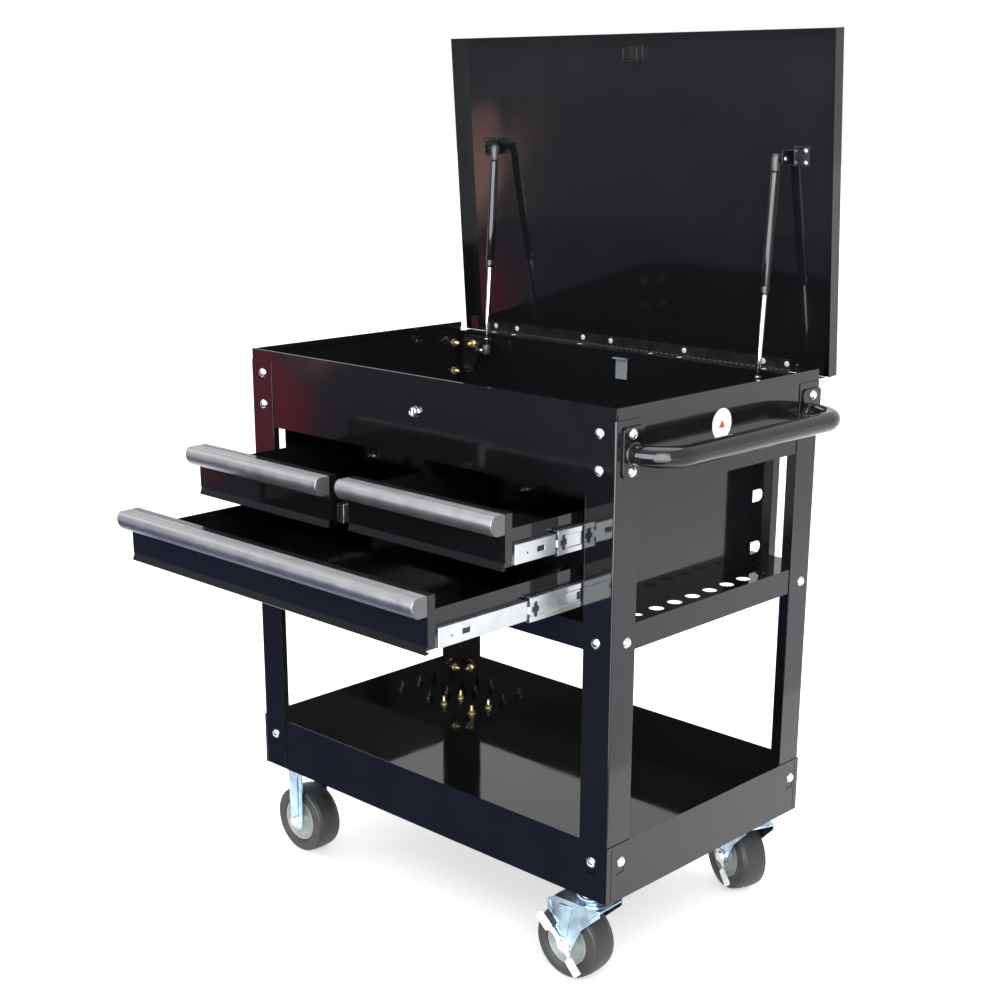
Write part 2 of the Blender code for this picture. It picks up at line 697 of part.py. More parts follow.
def make_hinge(root, zinc):
    """Long piano hinge: the box leaf carries the pin, the lid leaf turns on it."""
    leaf_edge = HINGE_LEAF_FRONT - HINGE_Y
    clear_edge = -KNUCKLE_RADIUS - FIT_GAP
    box_level = (-LEAF_SHEET - LEAF_LEVEL, -LEAF_LEVEL)
    lid_level = (LEAF_LEVEL, LEAF_SHEET + LEAF_LEVEL)
    length = (HINGE_LEAF_LEFT, HINGE_LEAF_RIGHT)
    box_leaf = [box(length, (leaf_edge, clear_edge), box_level)]
    box_leaf += [box(span, (clear_edge, -BOX_LEAF_OVERLAP), box_level) for span in knuckle_spans(0)]
    leaf = place("hinge_leaf_box", boxes_solid(box_leaf), zinc, root,
                 origin=(0, HINGE_Y, HINGE_Z), local=True)
    profile = [(0, HINGE_LEAF_LEFT + FIT_GAP)]
    for low, high in knuckle_spans(0):
        if profile[-1][0] != 0:
            profile.append((HINGE_PIN_RADIUS, low))
        profile += [(KNUCKLE_RADIUS, low), (KNUCKLE_RADIUS, high), (HINGE_PIN_RADIUS, high)]
    profile[-1] = (0, profile[-1][1])
    combine(leaf, turned(profile, 0, HINGE_SIDES), "UNION", local=True)
    lid_leaf = [box(length, (leaf_edge, clear_edge), lid_level)]
    lid_leaf += [box(span, (clear_edge, -LID_LEAF_OVERLAP), lid_level) for span in knuckle_spans(1)]
    leaf = place("hinge_leaf_lid", boxes_solid(lid_leaf), zinc, root,
                 origin=(0, HINGE_Y, HINGE_Z), rotation=(-LID_OPEN_ANGLE, 0, 0), local=True)
    for low, high in knuckle_spans(1):
        ring = [(KNUCKLE_BORE, low), (KNUCKLE_RADIUS, low), (KNUCKLE_RADIUS, high), (KNUCKLE_BORE, high)]
        combine(leaf, turned(ring, 0, HINGE_SIDES, closed=True), "UNION", local=True)


def make_struts(root, black, chrome):
    """Two gas struts, each a rod on a pivot in the box and a tube that slides along it."""
    rise = STRUT_TOP_Z - STRUT_LOW_Z
    lean = STRUT_TOP_Y - STRUT_LOW_Y
    length = math.hypot(rise, lean)
    tilt = -math.atan2(lean, rise)
    tube_end = length - STRUT_TUBE_LENGTH
    for sign, name in ((-1, "left"), (1, "right")):
        pivot = (sign * STRUT_X, STRUT_LOW_Y, STRUT_LOW_Z)
        rod_profile = [
            (0, -STRUT_SOCKET_RADIUS),
            (STRUT_SOCKET_RADIUS * 0.8, -STRUT_SOCKET_RADIUS),
            (STRUT_SOCKET_RADIUS, -STRUT_SOCKET_RADIUS * 0.6),
            (STRUT_SOCKET_RADIUS, ROD_NECK_START),
            (ROD_NECK_RADIUS, ROD_NECK_SLOPE_END),
            (ROD_NECK_RADIUS, ROD_NECK_END),
            (STRUT_ROD_RADIUS, ROD_NECK_END),
            (STRUT_ROD_RADIUS, tube_end + STRUT_ROD_IN_TUBE),
            (0, tube_end + STRUT_ROD_IN_TUBE),
        ]
        rod = place(f"strut_rod_{name}", turned(rod_profile, 2, STRUT_SIDES), chrome, root,
                    origin=pivot, rotation=(tilt, 0, 0), local=True)
        stud = [(0, 0), (STRUT_STUD_RADIUS, 0)]
        stud_reach = STRUT_STUD_END - STRUT_X
        stud += [(STRUT_STUD_RADIUS, sign * stud_reach), (0, sign * stud_reach)]
        combine(rod, turned(stud, 0, STRUT_STUD_SIDES), "UNION", local=True)
        tube_profile = [
            (0, length + STRUT_SOCKET_RADIUS),
            (STRUT_SOCKET_RADIUS * 0.8, length + STRUT_SOCKET_RADIUS),
            (STRUT_SOCKET_RADIUS, length + STRUT_SOCKET_RADIUS * 0.6),
            (STRUT_SOCKET_RADIUS, length - TUBE_NECK_START),
            (TUBE_NECK_RADIUS, length - TUBE_NECK_SLOPE_END),
            (TUBE_NECK_RADIUS, length - TUBE_NECK_END),
            (STRUT_TUBE_RADIUS, length - TUBE_SHOULDER),
            (STRUT_TUBE_RADIUS, tube_end),
            (STRUT_BORE_RADIUS, tube_end),
            (STRUT_BORE_RADIUS, length - TUBE_BORE_STOP),
            (0, length - TUBE_BORE_STOP),
        ]
        tube = place(f"strut_tube_{name}", turned(tube_profile, 2, STRUT_SIDES), black, root,
                     origin=pivot, rotation=(tilt, 0, 0), local=True)
        combine(tube, moved(turned(stud, 0, STRUT_STUD_SIDES), (0, 0, length)), "UNION", local=True)


def make_lock(root, chrome):
    """Lock plug through the front panel, with the cam behind it."""
    face = -inside_post_y()
    profile = [
        (0, face - LOCK_PLUG_PROUD),
        (LOCK_PLUG_RADIUS, face - LOCK_PLUG_PROUD),
        (LOCK_PLUG_RADIUS, face + LOCK_PLUG_END),
        (0, face + LOCK_PLUG_END),
    ]
    plug = place("lock_plug", moved(turned(profile, 1, 20), (0, 0, LOCK_HEIGHT)), chrome, root,
                 origin=(0, face, LOCK_HEIGHT))
    cam = boxes_solid([box((-LOCK_CAM_HALF_WIDTH, LOCK_CAM_HALF_WIDTH),
                           (face + LOCK_CAM_DEPTHS[0], face + LOCK_CAM_DEPTHS[1]),
                           (LOCK_HEIGHT - LOCK_CAM_DROP, LOCK_HEIGHT + LOCK_CAM_RISE))])
    combine(plug, cam, "UNION")


# ---------------------------------------------------------------- push handle
def handle_path(start_x):
    """Centre line of the push handle, from its front plate round both bends to the back plate."""
    points = [Vector((start_x, HANDLE_FRONT_Y, HANDLE_Z))]
    bends = ((HANDLE_FRONT_Y + HANDLE_BEND, -90, 0), (HANDLE_BACK_Y - HANDLE_BEND, 0, 90))
    for centre_y, start, end in bends:
        for x, y in arc((HANDLE_X - HANDLE_BEND, centre_y), HANDLE_BEND, start, end, 5):
            points.append(Vector((x, y, HANDLE_Z)))
    points.append(Vector((start_x, HANDLE_BACK_Y, HANDLE_Z)))
    return points


def make_push_handle(root, paint):
    """Bent tube welded to two mounting plates on the right-hand posts."""
    plate_face = CART_WIDTH / 2 + FIT_GAP
    tube = swept_round(handle_path(plate_face + HANDLE_WELD_DEPTH), HANDLE_RADIUS, HANDLE_SIDES)
    handle = place("push_handle", tube, paint, root)
    for centre_y in (HANDLE_FRONT_Y, HANDLE_BACK_Y):
        plate = boxes_solid([box((plate_face, plate_face + HANDLE_PLATE_THICKNESS),
                                 (centre_y - HANDLE_PLATE_WIDTH / 2, centre_y + HANDLE_PLATE_WIDTH / 2),
                                 (HANDLE_PLATE_BOTTOM, HANDLE_PLATE_TOP))])
        combine(handle, plate, "UNION")
    bore = swept_round(handle_path(plate_face - HANDLE_WELD_DEPTH), HANDLE_BORE, HANDLE_BORE_SIDES)
    combine(handle, bore, "DIFFERENCE")


# ---------------------------------------------------------------- casters
def mirrored_profile(half_profile):
    """A closed turned profile from its lower half, mirrored about the middle plane."""
    return list(half_profile) + [(radius, -along) for radius, along in reversed(half_profile)]


def make_wheel(name, centre, heading, root, rubber, hub_paint):
    """Tyre and hub, both turned about the axle."""
    turn = (0, 0, heading)
    tyre = turned(mirrored_profile(TYRE_PROFILE), 1, TYRE_SIDES, closed=True)
    place(f"tyre_{name}", tyre, rubber, root, centre, turn, local=True)
    hub = turned(mirrored_profile(HUB_PROFILE), 1, HUB_SIDES, closed=True)
    place(f"hub_{name}", hub, hub_paint, root, centre, turn, local=True)


def axle_solid(x, z, head_side_reach):
    """Axle bolt across the fork, with its head and nut."""
    profile = [
        (0, -head_side_reach - AXLE_HEAD_LENGTH),
        (AXLE_HEAD_RADIUS, -head_side_reach - AXLE_HEAD_LENGTH),
        (AXLE_HEAD_RADIUS, -head_side_reach),
        (AXLE_RADIUS, -head_side_reach),
        (AXLE_RADIUS, FORK_LEG_OUTER - SEAT_DEPTH),
        (AXLE_HEAD_RADIUS, FORK_LEG_OUTER - SEAT_DEPTH),
        (AXLE_HEAD_RADIUS, FORK_LEG_OUTER + AXLE_HEAD_LENGTH),
        (0, FORK_LEG_OUTER + AXLE_HEAD_LENGTH),
    ]
    return moved(turned(profile, 1, AXLE_SIDES), (x, 0, z))


def caster_plate(kingpin):
    """The flat top plate of a caster, under the tray."""
    x, y = kingpin
    return boxes_solid([box((x - CASTER_PLATE_LENGTH / 2, x + CASTER_PLATE_LENGTH / 2),
                            (y - CASTER_PLATE_WIDTH / 2, y + CASTER_PLATE_WIDTH / 2),
                            (CASTER_PLATE_TOP - CASTER_PLATE_SHEET, CASTER_PLATE_TOP))])


def make_rigid_fork(name, kingpin, root, zinc):
    """Fixed fork: top plate, two straight legs and the axle bolt."""
    fork = place(f"fork_{name}", caster_plate(kingpin), zinc, root, origin=(*kingpin, WHEEL_RADIUS))
    leg_top = CASTER_PLATE_TOP - LEG_OVERLAP - WHEEL_RADIUS
    leg = [(-RIGID_LEG_HALF_WIDTH, leg_top)]
    leg += arc((0, 0), FORK_EYE_RADIUS, 180, 360, 8)
    leg.append((RIGID_LEG_HALF_WIDTH, leg_top))
    for sign in (-1, 1):
        blade = prism(leg, 1, sign * FORK_LEG_INNER, sign * FORK_LEG_OUTER)
        combine(fork, blade, "UNION", local=True)
    combine(fork, axle_solid(0, 0, FORK_LEG_OUTER - SEAT_DEPTH), "UNION", local=True)


def make_swivel_caster(name, kingpin, heading, root, zinc):
    """Swivel plate with its raceway, and a trailing fork that turns about the kingpin."""
    fixed = place(f"swivel_plate_{name}", caster_plate(kingpin), zinc, root,
                  origin=(*kingpin, CASTER_PLATE_TOP))
    race_foot = FORK_CROWN_TOP + FIT_GAP - CASTER_PLATE_TOP
    race = list(RACEWAY_PROFILE) + [(RACEWAY_FOOT_RADIUS, race_foot), (0, race_foot)]
    combine(fixed, turned(race, 2, RACEWAY_SIDES), "UNION", local=True)
    crown = [box(FORK_CROWN, (-FORK_LEG_OUTER, FORK_LEG_OUTER), (-FORK_CROWN_SHEET, 0))]
    fork = place(f"fork_{name}", boxes_solid(crown), zinc, root,
                 origin=(*kingpin, FORK_CROWN_TOP), rotation=(0, 0, heading), local=True)
    axle_z = WHEEL_RADIUS - FORK_CROWN_TOP
    eye = arc((-CASTER_TRAIL, axle_z), FORK_EYE_RADIUS, 190, 350, 8)
    leg = list(SWIVEL_LEG_REAR) + eye + list(SWIVEL_LEG_FRONT)
    for sign in (-1, 1):
        blade = prism(leg, 1, sign * FORK_LEG_INNER, sign * (FORK_LEG_OUTER - FORK_SHEET_STEP))
        combine(fork, blade, "UNION", local=True)
    axle = axle_solid(-CASTER_TRAIL, axle_z, BRAKE_OUTER + FIT_GAP)
    combine(fork, axle, "UNION", local=True)


def brake_bar(angle, start, end, width, near, far):
    """A flat bar along one direction from the axle, between two distances from the wheel's middle."""
    corners = [(start, -width / 2), (end, -width / 2), (end, width / 2), (start, width / 2)]
    along = Vector((math.cos(angle), math.sin(angle)))
    across = Vector((-along.y, along.x))
    outline = [tuple(along * reach + across * offset) for reach, offset in corners]
    return prism(outline, 1, -far, -near)


def make_brake_lever(name, centre, heading, root, zinc):
    """Double-ended side brake lever that rocks on the axle, with a flat foot pad at each end."""
    disc = arc((0, 0), BRAKE_DISC_RADIUS, 0, 342, 19)
    lever = place(f"brake_lever_{name}", prism(disc, 1, -BRAKE_OUTER, -BRAKE_INNER), zinc, root,
                  origin=centre, rotation=(0, 0, heading), local=True)
    for degrees, reach in BRAKE_PAD_ENDS.items():
        angle = math.radians(degrees)
        end = BRAKE_ARM_LENGTH
        step = end - BRAKE_STEP
        near = BRAKE_INNER + FORK_SHEET_STEP
        pad_face = BRAKE_PAD_OUTER - FORK_SHEET_STEP
        bars = (
            (0.0, end - SEAT_DEPTH, BRAKE_ARM_WIDTH, near, BRAKE_OUTER - FORK_SHEET_STEP),
            (step, end, BRAKE_ARM_WIDTH - SEAT_DEPTH, near + FORK_SHEET_STEP, pad_face),
            (step + SEAT_DEPTH, reach, BRAKE_PAD_WIDTH, BRAKE_PAD_INNER, BRAKE_PAD_OUTER),
        )
        for start, stop, width, inner, outer in bars:
            combine(lever, brake_bar(angle, start, stop, width, inner, outer), "UNION", local=True)
    hole = arc((0, 0), AXLE_RADIUS + FIT_GAP, 0, 340, 17)
    cutter = prism(hole, 1, -BRAKE_OUTER - SEAT_DEPTH, -BRAKE_INNER + SEAT_DEPTH)
    combine(lever, cutter, "DIFFERENCE", local=True)


def make_casters(root, zinc, rubber, hub_paint):
    """Two fixed casters on the left and two braked swivel casters on the right."""
    for name, caster in CASTERS.items():
        kingpin = (caster["side"] * CASTER_X, caster["end"] * CASTER_Y)
        heading = caster["heading"]
        trail = CASTER_TRAIL if caster["swivels"] else 0.0
        behind = (trail * math.cos(heading), trail * math.sin(heading))
        centre = (kingpin[0] - behind[0], kingpin[1] - behind[1], WHEEL_RADIUS)
        make_wheel(name, centre, heading, root, rubber, hub_paint)
        if caster["swivels"]:
            make_swivel_caster(name, kingpin, heading, root, zinc)
            make_brake_lever(name, centre, heading, root, zinc)
        else:
            make_rigid_fork(name, kingpin, root, zinc)


# ---------------------------------------------------------------- assembly
def stand_on_origin(root):
    """Moves the cart so that the bottom centre of its bounding box is the origin."""
    bpy.context.view_layer.update()
    lows = []
    highs = []
    for thing in bpy.data.objects:
        if thing.type == "MESH" and not thing.hide_render:
            corners = [thing.matrix_world @ vertex.co for vertex in thing.data.vertices]
            lows.append([min(corner[axis] for corner in corners) for axis in range(3)])
            highs.append([max(corner[axis] for corner in corners) for axis in range(3)])
    low = [min(values[axis] for values in lows) for axis in range(3)]
    high = [max(values[axis] for values in highs) for axis in range(3)]
    root.location = (-(low[0] + high[0]) / 2, -(low[1] + high[1]) / 2, -low[2])
    bpy.context.view_layer.update()


def build_cart():
    """Builds every part under one empty that holds the cart frame."""
    clear_scene()
    root = bpy.data.objects.new("cart_frame", None)
    bpy.context.collection.objects.link(root)
    paint = make_material("black_paint", (0.012, 0.012, 0.014), 0.12, 0.0)
    zinc = make_material("zinc_plate", (0.62, 0.64, 0.66), 0.3, 1.0)
    chrome = make_material("chrome", (0.75, 0.75, 0.76), 0.12, 1.0)
    aluminium = make_material("satin_aluminium", (0.42, 0.42, 0.43), 0.35, 1.0)
    black = make_material("strut_black", (0.02, 0.02, 0.022), 0.3, 0.0)
    rubber = make_material("tyre_rubber", (0.018, 0.015, 0.014), 0.65, 0.0)
    hub_paint = make_material("hub_grey", (0.32, 0.36, 0.36), 0.4, 0.3)
    make_posts(root, paint)
    make_bottom_tray(root, paint)
    make_middle_shelf(root, paint)
    make_top_box(root, paint)
    make_cabinet_walls(root, paint)
    make_divider(root, paint)
    make_slides(root, zinc)
    for name, drawer in DRAWERS.items():
        make_drawer_pan(name, drawer, root, paint)
        make_drawer_pull(name, drawer, root, aluminium)
    make_lid(root, paint)
    make_hinge(root, zinc)
    make_struts(root, black, chrome)
    make_lock(root, chrome)
    make_push_handle(root, paint)
    make_casters(root, zinc, rubber, hub_paint)
    stand_on_origin(root)


build_cart()
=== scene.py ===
"""Looks for the three-drawer service cart: finishes, fasteners and fine shapes round the frame."""

import json
import math

import bmesh
import bpy
from mathutils import Matrix, Vector


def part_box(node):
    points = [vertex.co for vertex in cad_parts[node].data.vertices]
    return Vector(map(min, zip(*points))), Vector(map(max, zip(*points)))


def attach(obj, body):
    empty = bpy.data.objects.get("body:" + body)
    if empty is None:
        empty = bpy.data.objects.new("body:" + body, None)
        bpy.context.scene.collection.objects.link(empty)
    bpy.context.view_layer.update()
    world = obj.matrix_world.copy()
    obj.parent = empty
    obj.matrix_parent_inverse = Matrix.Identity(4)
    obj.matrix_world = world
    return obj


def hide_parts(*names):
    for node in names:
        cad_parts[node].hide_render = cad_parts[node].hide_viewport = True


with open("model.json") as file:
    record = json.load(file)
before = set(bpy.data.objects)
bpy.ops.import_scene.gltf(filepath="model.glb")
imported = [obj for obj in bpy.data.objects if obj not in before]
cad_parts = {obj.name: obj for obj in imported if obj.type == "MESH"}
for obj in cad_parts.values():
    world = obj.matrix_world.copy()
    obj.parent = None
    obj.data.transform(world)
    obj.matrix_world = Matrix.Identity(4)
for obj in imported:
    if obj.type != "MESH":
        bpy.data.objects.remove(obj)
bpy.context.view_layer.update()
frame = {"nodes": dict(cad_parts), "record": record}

# ---- places read from the frame
POST_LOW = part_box("post_front_left")[0]
POST_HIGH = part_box("post_rear_right")[1]
CENTRE_X = (POST_LOW.x + POST_HIGH.x) / 2
CENTRE_Y = (POST_LOW.y + POST_HIGH.y) / 2
HALF_WIDTH = (POST_HIGH.x - POST_LOW.x) / 2
HALF_DEPTH = (POST_HIGH.y - POST_LOW.y) / 2
CART = Vector((CENTRE_X, CENTRE_Y, 0.0))

# ---- camera
VIEW_AZIMUTH = math.radians(43.562)
VIEW_ELEVATION = math.radians(16.807)
VIEW_ROLL = math.radians(0.267)
VIEW_DISTANCE = 3.4
VIEW_TARGET = Vector((-0.3496, 0.3225, 0.3935))
VIEW_LENS = 59.0
VIEW_SHIFT = (-0.0065, 0.0934)
SENSOR_WIDTH = 36.0
VIEW_REACH = 100.0


def make_camera():
    """Camera at the front right, a little above the top box."""
    back = Vector((
        math.sin(VIEW_AZIMUTH) * math.cos(VIEW_ELEVATION),
        -math.cos(VIEW_AZIMUTH) * math.cos(VIEW_ELEVATION),
        math.sin(VIEW_ELEVATION),
    ))
    right = Vector((0, 0, 1)).cross(back).normalized()
    up = back.cross(right)
    rolled_right = right * math.cos(VIEW_ROLL) + up * math.sin(VIEW_ROLL)
    rolled_up = up * math.cos(VIEW_ROLL) - right * math.sin(VIEW_ROLL)
    lens = bpy.data.cameras.new("camera")
    lens.sensor_width = SENSOR_WIDTH
    lens.lens = VIEW_LENS
    lens.shift_x, lens.shift_y = VIEW_SHIFT
    lens.clip_end = VIEW_REACH
    camera = bpy.data.objects.new("camera", lens)
    bpy.context.scene.collection.objects.link(camera)
    turn = Matrix((rolled_right, rolled_up, back)).transposed().to_4x4()
    camera.matrix_world = Matrix.Translation(CART + VIEW_TARGET + back * VIEW_DISTANCE) @ turn
    bpy.context.scene.camera = camera


# ---- shader nodes
NOISE_LOW = 0.3
NOISE_HIGH = 0.7


def set_inputs(node, **values):
    """Sets input values of a shader node; an underscore in a name stands for a space."""
    for name, value in values.items():
        node.inputs[name.replace("_", " ")].default_value = value


def add_node(material, kind, **values):
    """A new shader node with the given input values."""
    node = material.node_tree.nodes.new(f"ShaderNode{kind}")
    set_inputs(node, **values)
    return node


def join(source, output, target, socket):
    """Links one node's output to another node's input."""
    source.id_data.links.new(source.outputs[output], target.inputs[socket])


def noise_range(material, noise, low, high):
    """A node whose result follows a noise texture from low to high."""
    level = add_node(material, "MapRange", From_Min=NOISE_LOW, From_Max=NOISE_HIGH, To_Min=low, To_Max=high)
    join(noise, "Fac", level, "Value")
    return level


def add_material(name):
    """A new material and its Principled shader node."""
    material = bpy.data.materials.new(name)
    material.use_nodes = True
    return material, material.node_tree.nodes["Principled BSDF"]


def add_object(name, data):
    """A new object in the scene."""
    thing = bpy.data.objects.new(name, data)
    bpy.context.scene.collection.objects.link(thing)
    return thing


# ---- studio
WHITE = (1.0, 1.0, 1.0, 1.0)
FLOOR_REACH = 30.0
FLOOR_GLOW = 0.5
LIGHT_AIM = Vector((0.0, 0.0, 0.7))
LIGHTS = (
    # name, place, size, energy
    ("key_light", (2.6, -2.4, 3.2), 2.2, 55.0),
    ("fill_light", (-3.0, -1.6, 2.6), 2.0, 14.0),
    ("top_light", (0.0, 0.3, 3.6), 2.6, 40.0),
)
CARD_PATCH_SCALE = 0.45
CARD_PATCH_SPREAD = 0.14
CARD_FADE = 0.45
CARD_REACH = 28.0
FRONT_CARDS_RIGHT = 2.0
SIDE_CARD_REACH = 7.0
DIM_WALL_TOP = 14.0
DIM_WALL_CORNER = (-13.0, -9.0)
DIM_GREY = (0.3, 0.31, 0.34)


def make_surroundings():
    """White surroundings and soft round lights."""
    scene = bpy.context.scene
    scene.view_settings.view_transform = "Standard"
    world = bpy.data.worlds.new("studio")
    world.use_nodes = True
    set_inputs(world.node_tree.nodes["Background"], Color=WHITE, Strength=1.0)
    scene.world = world
    for name, place, size, energy in LIGHTS:
        light = bpy.data.lights.new(name, "AREA")
        light.shape = "DISK"
        light.size = size
        light.energy = energy
        lamp = add_object(name, light)
        lamp.location = Vector(place) + CART
        aim = LIGHT_AIM + CART - lamp.location
        lamp.rotation_euler = aim.to_track_quat("-Z", "Y").to_euler()


def make_floor():
    """Pale floor that glows a little, so that it stays nearly white under the cart."""
    mesh = bpy.data.meshes.new("floor")
    corners = rectangle((-FLOOR_REACH, -FLOOR_REACH), (FLOOR_REACH, FLOOR_REACH))
    mesh.from_pydata([(x, y, 0) for x, y in corners], [], [(0, 1, 2, 3)])
    paint, shader = add_material("floor_paint")
    set_inputs(shader, Base_Color=WHITE, Emission_Color=WHITE, Emission_Strength=FLOOR_GLOW, Roughness=0.9,
               Specular_IOR_Level=0.0)
    mesh.materials.append(paint)
    add_object("floor", mesh)


def card(name, corners, radiance, fades=False):
    """A glowing card that only reflections see, softly uneven; it may fade out towards its edges."""
    mesh = bpy.data.meshes.new(name)
    mesh.from_pydata([Vector(corner) + CART for corner in corners], [], [(0, 1, 2, 3)])
    spread = mesh.uv_layers.new(name="spread")
    for loop, corner in zip(spread.data, rectangle((-1, -1), (1, 1))):
        loop.uv = corner
    material = add_material(name)[0]
    material.node_tree.nodes.clear()
    place = add_node(material, "TexCoord")
    patches = add_node(material, "TexNoise", Scale=CARD_PATCH_SCALE, Detail=1.0)
    join(place, "Object", patches, "Vector")
    level = noise_range(material, patches, 1.0 - CARD_PATCH_SPREAD, 1.0 + CARD_PATCH_SPREAD)
    glow = add_node(material, "Emission", Color=(*radiance, 1.0))
    join(level, "Result", glow, "Strength")
    output = add_node(material, "OutputMaterial")
    if fades:
        falloff = add_node(material, "TexGradient")
        falloff.gradient_type = "SPHERICAL"
        join(place, "UV", falloff, "Vector")
        edge = add_node(material, "MapRange", From_Max=CARD_FADE)
        edge.interpolation_type = "SMOOTHSTEP"
        join(falloff, "Fac", edge, "Value")
        clear = add_node(material, "BsdfTransparent")
        blend = add_node(material, "MixShader")
        join(edge, "Result", blend, "Fac")
        join(clear, "BSDF", blend, 1)
        join(glow, "Emission", blend, 2)
        join(blend, "Shader", output, "Surface")
    else:
        join(glow, "Emission", output, "Surface")
    mesh.materials.append(material)
    thing = add_object(name, mesh)
    thing.visible_camera = False
    thing.visible_diffuse = False
    thing.visible_shadow = False
    thing.visible_transmission = False


def wall_card(name, start, end, top, radiance):
    """An upright card that stands on the floor between two points."""
    card(name, [(*start, 0.0), (*end, 0.0), (*end, top), (*start, top)], radiance)


def make_cards():
    """The cards that shape the reflections: level ones just over the floor, then upright ones."""
    right = FRONT_CARDS_RIGHT
    for name, corners, height, radiance, fades in (
        ("near_front_card", rectangle((-CARD_REACH, -2.2), (right, -0.47)), 0.01, (0.02, 0.04, 0.16), False),
        ("middle_front_card", rectangle((-CARD_REACH, -4.4), (right, -2.2)), 0.01, (0.13, 0.13, 0.17),
         False),
        ("far_front_card", rectangle((-CARD_REACH, -CARD_REACH), (right, -4.4)), 0.01, (0.23, 0.23, 0.26),
         False),
        ("rosy_front_card", ((-2.28, -2.12), (-5.62, -4.7), (-6.95, -4.7), (-3.61, -2.12)), 0.012,
         (0.92, 0.075, 0.16), True),
        ("warm_far_card", ((-4.2, -3.7), (-8.98, -8.9), (-9.82, -8.9), (-4.7, -3.7)), 0.013,
         (2.2, 1.25, 1.05), True),
        ("bright_side_card", rectangle((1.0, -0.6), (SIDE_CARD_REACH, SIDE_CARD_REACH)), 0.014,
         (1.4, 1.4, 1.45), False),
        ("near_floor_card", ((0.79, -1.19), (1.3, -2.45), (2.87, -1.4), (1.33, -0.68)), 0.016,
         (4.0, 4.0, 4.0), False),
        ("front_floor_card", ((1.3, -2.45), (2.29, -4.9), (4.95, -2.37), (2.87, -1.4)), 0.016,
         (9.0, 9.0, 9.0), False),
    ):
        card(name, [(x, y, height) for x, y in corners], radiance, fades)
    wall_card("soft_box_card", (-2.44, -5.48), (5.3, -2.82), 3.5, (7.8, 7.8, 8.0))
    wall_card("dim_front_wall", DIM_WALL_CORNER, (-4.4, DIM_WALL_CORNER[1]), DIM_WALL_TOP, DIM_GREY)
    wall_card("dim_left_wall", (DIM_WALL_CORNER[0], 1.5), DIM_WALL_CORNER, DIM_WALL_TOP, DIM_GREY)


# ---- finishes
WAVE_SCALE = 5.0
WAVE_HEIGHT = 0.0009
BUMP_HEIGHT = 0.0002
LEAST_ROUGHNESS = 0.02


def finish(name, colour, roughness, metallic, roughness_spread=0.05, grain=60.0, bump=0.0, bump_scale=400.0,
           colour_spread=0.1, wave=0.0, specular=0.5):
    """A Principled finish with noise in its colour and roughness, a fine bump and a slow wave."""
    material, shader = add_material(name)
    set_inputs(shader, Metallic=metallic, Specular_IOR_Level=specular)
    place = add_node(material, "TexCoord")
    noise = add_node(material, "TexNoise", Scale=grain, Detail=4.0)
    join(place, "Object", noise, "Vector")
    tone = add_node(material, "ValToRGB")
    for element, position, share in zip(tone.color_ramp.elements, (NOISE_LOW, NOISE_HIGH),
                                        (1 - colour_spread, 1 + colour_spread)):
        element.position = position
        element.color = (*[value * share for value in colour], 1.0)
    join(noise, "Fac", tone, "Fac")
    join(tone, "Color", shader, "Base Color")
    smoothest = max(roughness - roughness_spread, LEAST_ROUGHNESS)
    gloss = noise_range(material, noise, smoothest, roughness + roughness_spread)
    join(gloss, "Result", shader, "Roughness")
    reliefs = []
    for strength, scale, height in ((wave, WAVE_SCALE, WAVE_HEIGHT), (bump, bump_scale, BUMP_HEIGHT)):
        if strength:
            texture = add_node(material, "TexNoise", Scale=scale, Detail=2.0)
            join(place, "Object", texture, "Vector")
            relief = add_node(material, "Bump", Strength=strength, Distance=height)
            join(texture, "Fac", relief, "Height")
            reliefs.append(relief)
    for relief, onto in zip(reliefs, reliefs[1:] + [shader]):
        join(relief, "Normal", onto, "Normal")
    return material


FINISHES = {
    "black_paint": finish("black_powder_coat", (0.0085, 0.0088, 0.0105), 0.07, 0.0, 0.03, 9.0, 0.06, 220.0,
                          wave=0.8),
    "zinc_plate": finish("bright_zinc", (0.7, 0.72, 0.74), 0.26, 1.0, 0.08, 40.0, 0.1, 600.0),
    "chrome": finish("polished_steel", (0.78, 0.78, 0.79), 0.1, 1.0, 0.03, 30.0),
    "satin_aluminium": finish("satin_anodised", (0.42, 0.42, 0.43), 0.4, 1.0, 0.03, 50.0, 0.05, 900.0, 0.04),
    "strut_black": finish("strut_paint", (0.012, 0.012, 0.014), 0.1, 0.0, 0.03, 40.0, 0.05, 500.0),
    "tyre_rubber": finish("tyre_rubber", (0.026, 0.025, 0.024), 0.48, 0.0, 0.08, 80.0, 0.3, 700.0),
    "hub_grey": finish("hub_grey", (0.32, 0.365, 0.365), 0.45, 0.0, 0.06, 50.0, 0.1, 500.0),
}

GLOSS_BLACK = FINISHES["black_paint"]
ZINC = FINISHES["zinc_plate"]
CHROME = FINISHES["chrome"]
STRUT_BLACK = FINISHES["strut_black"]
RUBBER = FINISHES["tyre_rubber"]
HUB = FINISHES["hub_grey"]
SATIN_PULL = FINISHES["satin_aluminium"]
BRIGHT_BOLT = finish("bright_bolt", (0.86, 0.87, 0.88), 0.22, 1.0, 0.06, 90.0, 0.1, 900.0)
BRIGHT_ZINC = finish("slide_zinc", (0.66, 0.69, 0.7), 0.3, 1.0, 0.06, 30.0, 0.08, 700.0)
FORK_ZINC = finish("fork_zinc", (0.4, 0.53, 0.63), 0.17, 1.0, 0.06, 22.0, 0.1, 500.0, 0.6, wave=1.0)
LEVER_ZINC = finish("lever_zinc", (0.93, 0.94, 0.94), 0.34, 0.6, 0.06, 50.0, 0.1, 600.0)
YELLOW_ZINC = finish("yellow_zinc", (0.76, 0.66, 0.36), 0.3, 1.0, 0.08, 120.0, 0.1, 900.0, 0.25)
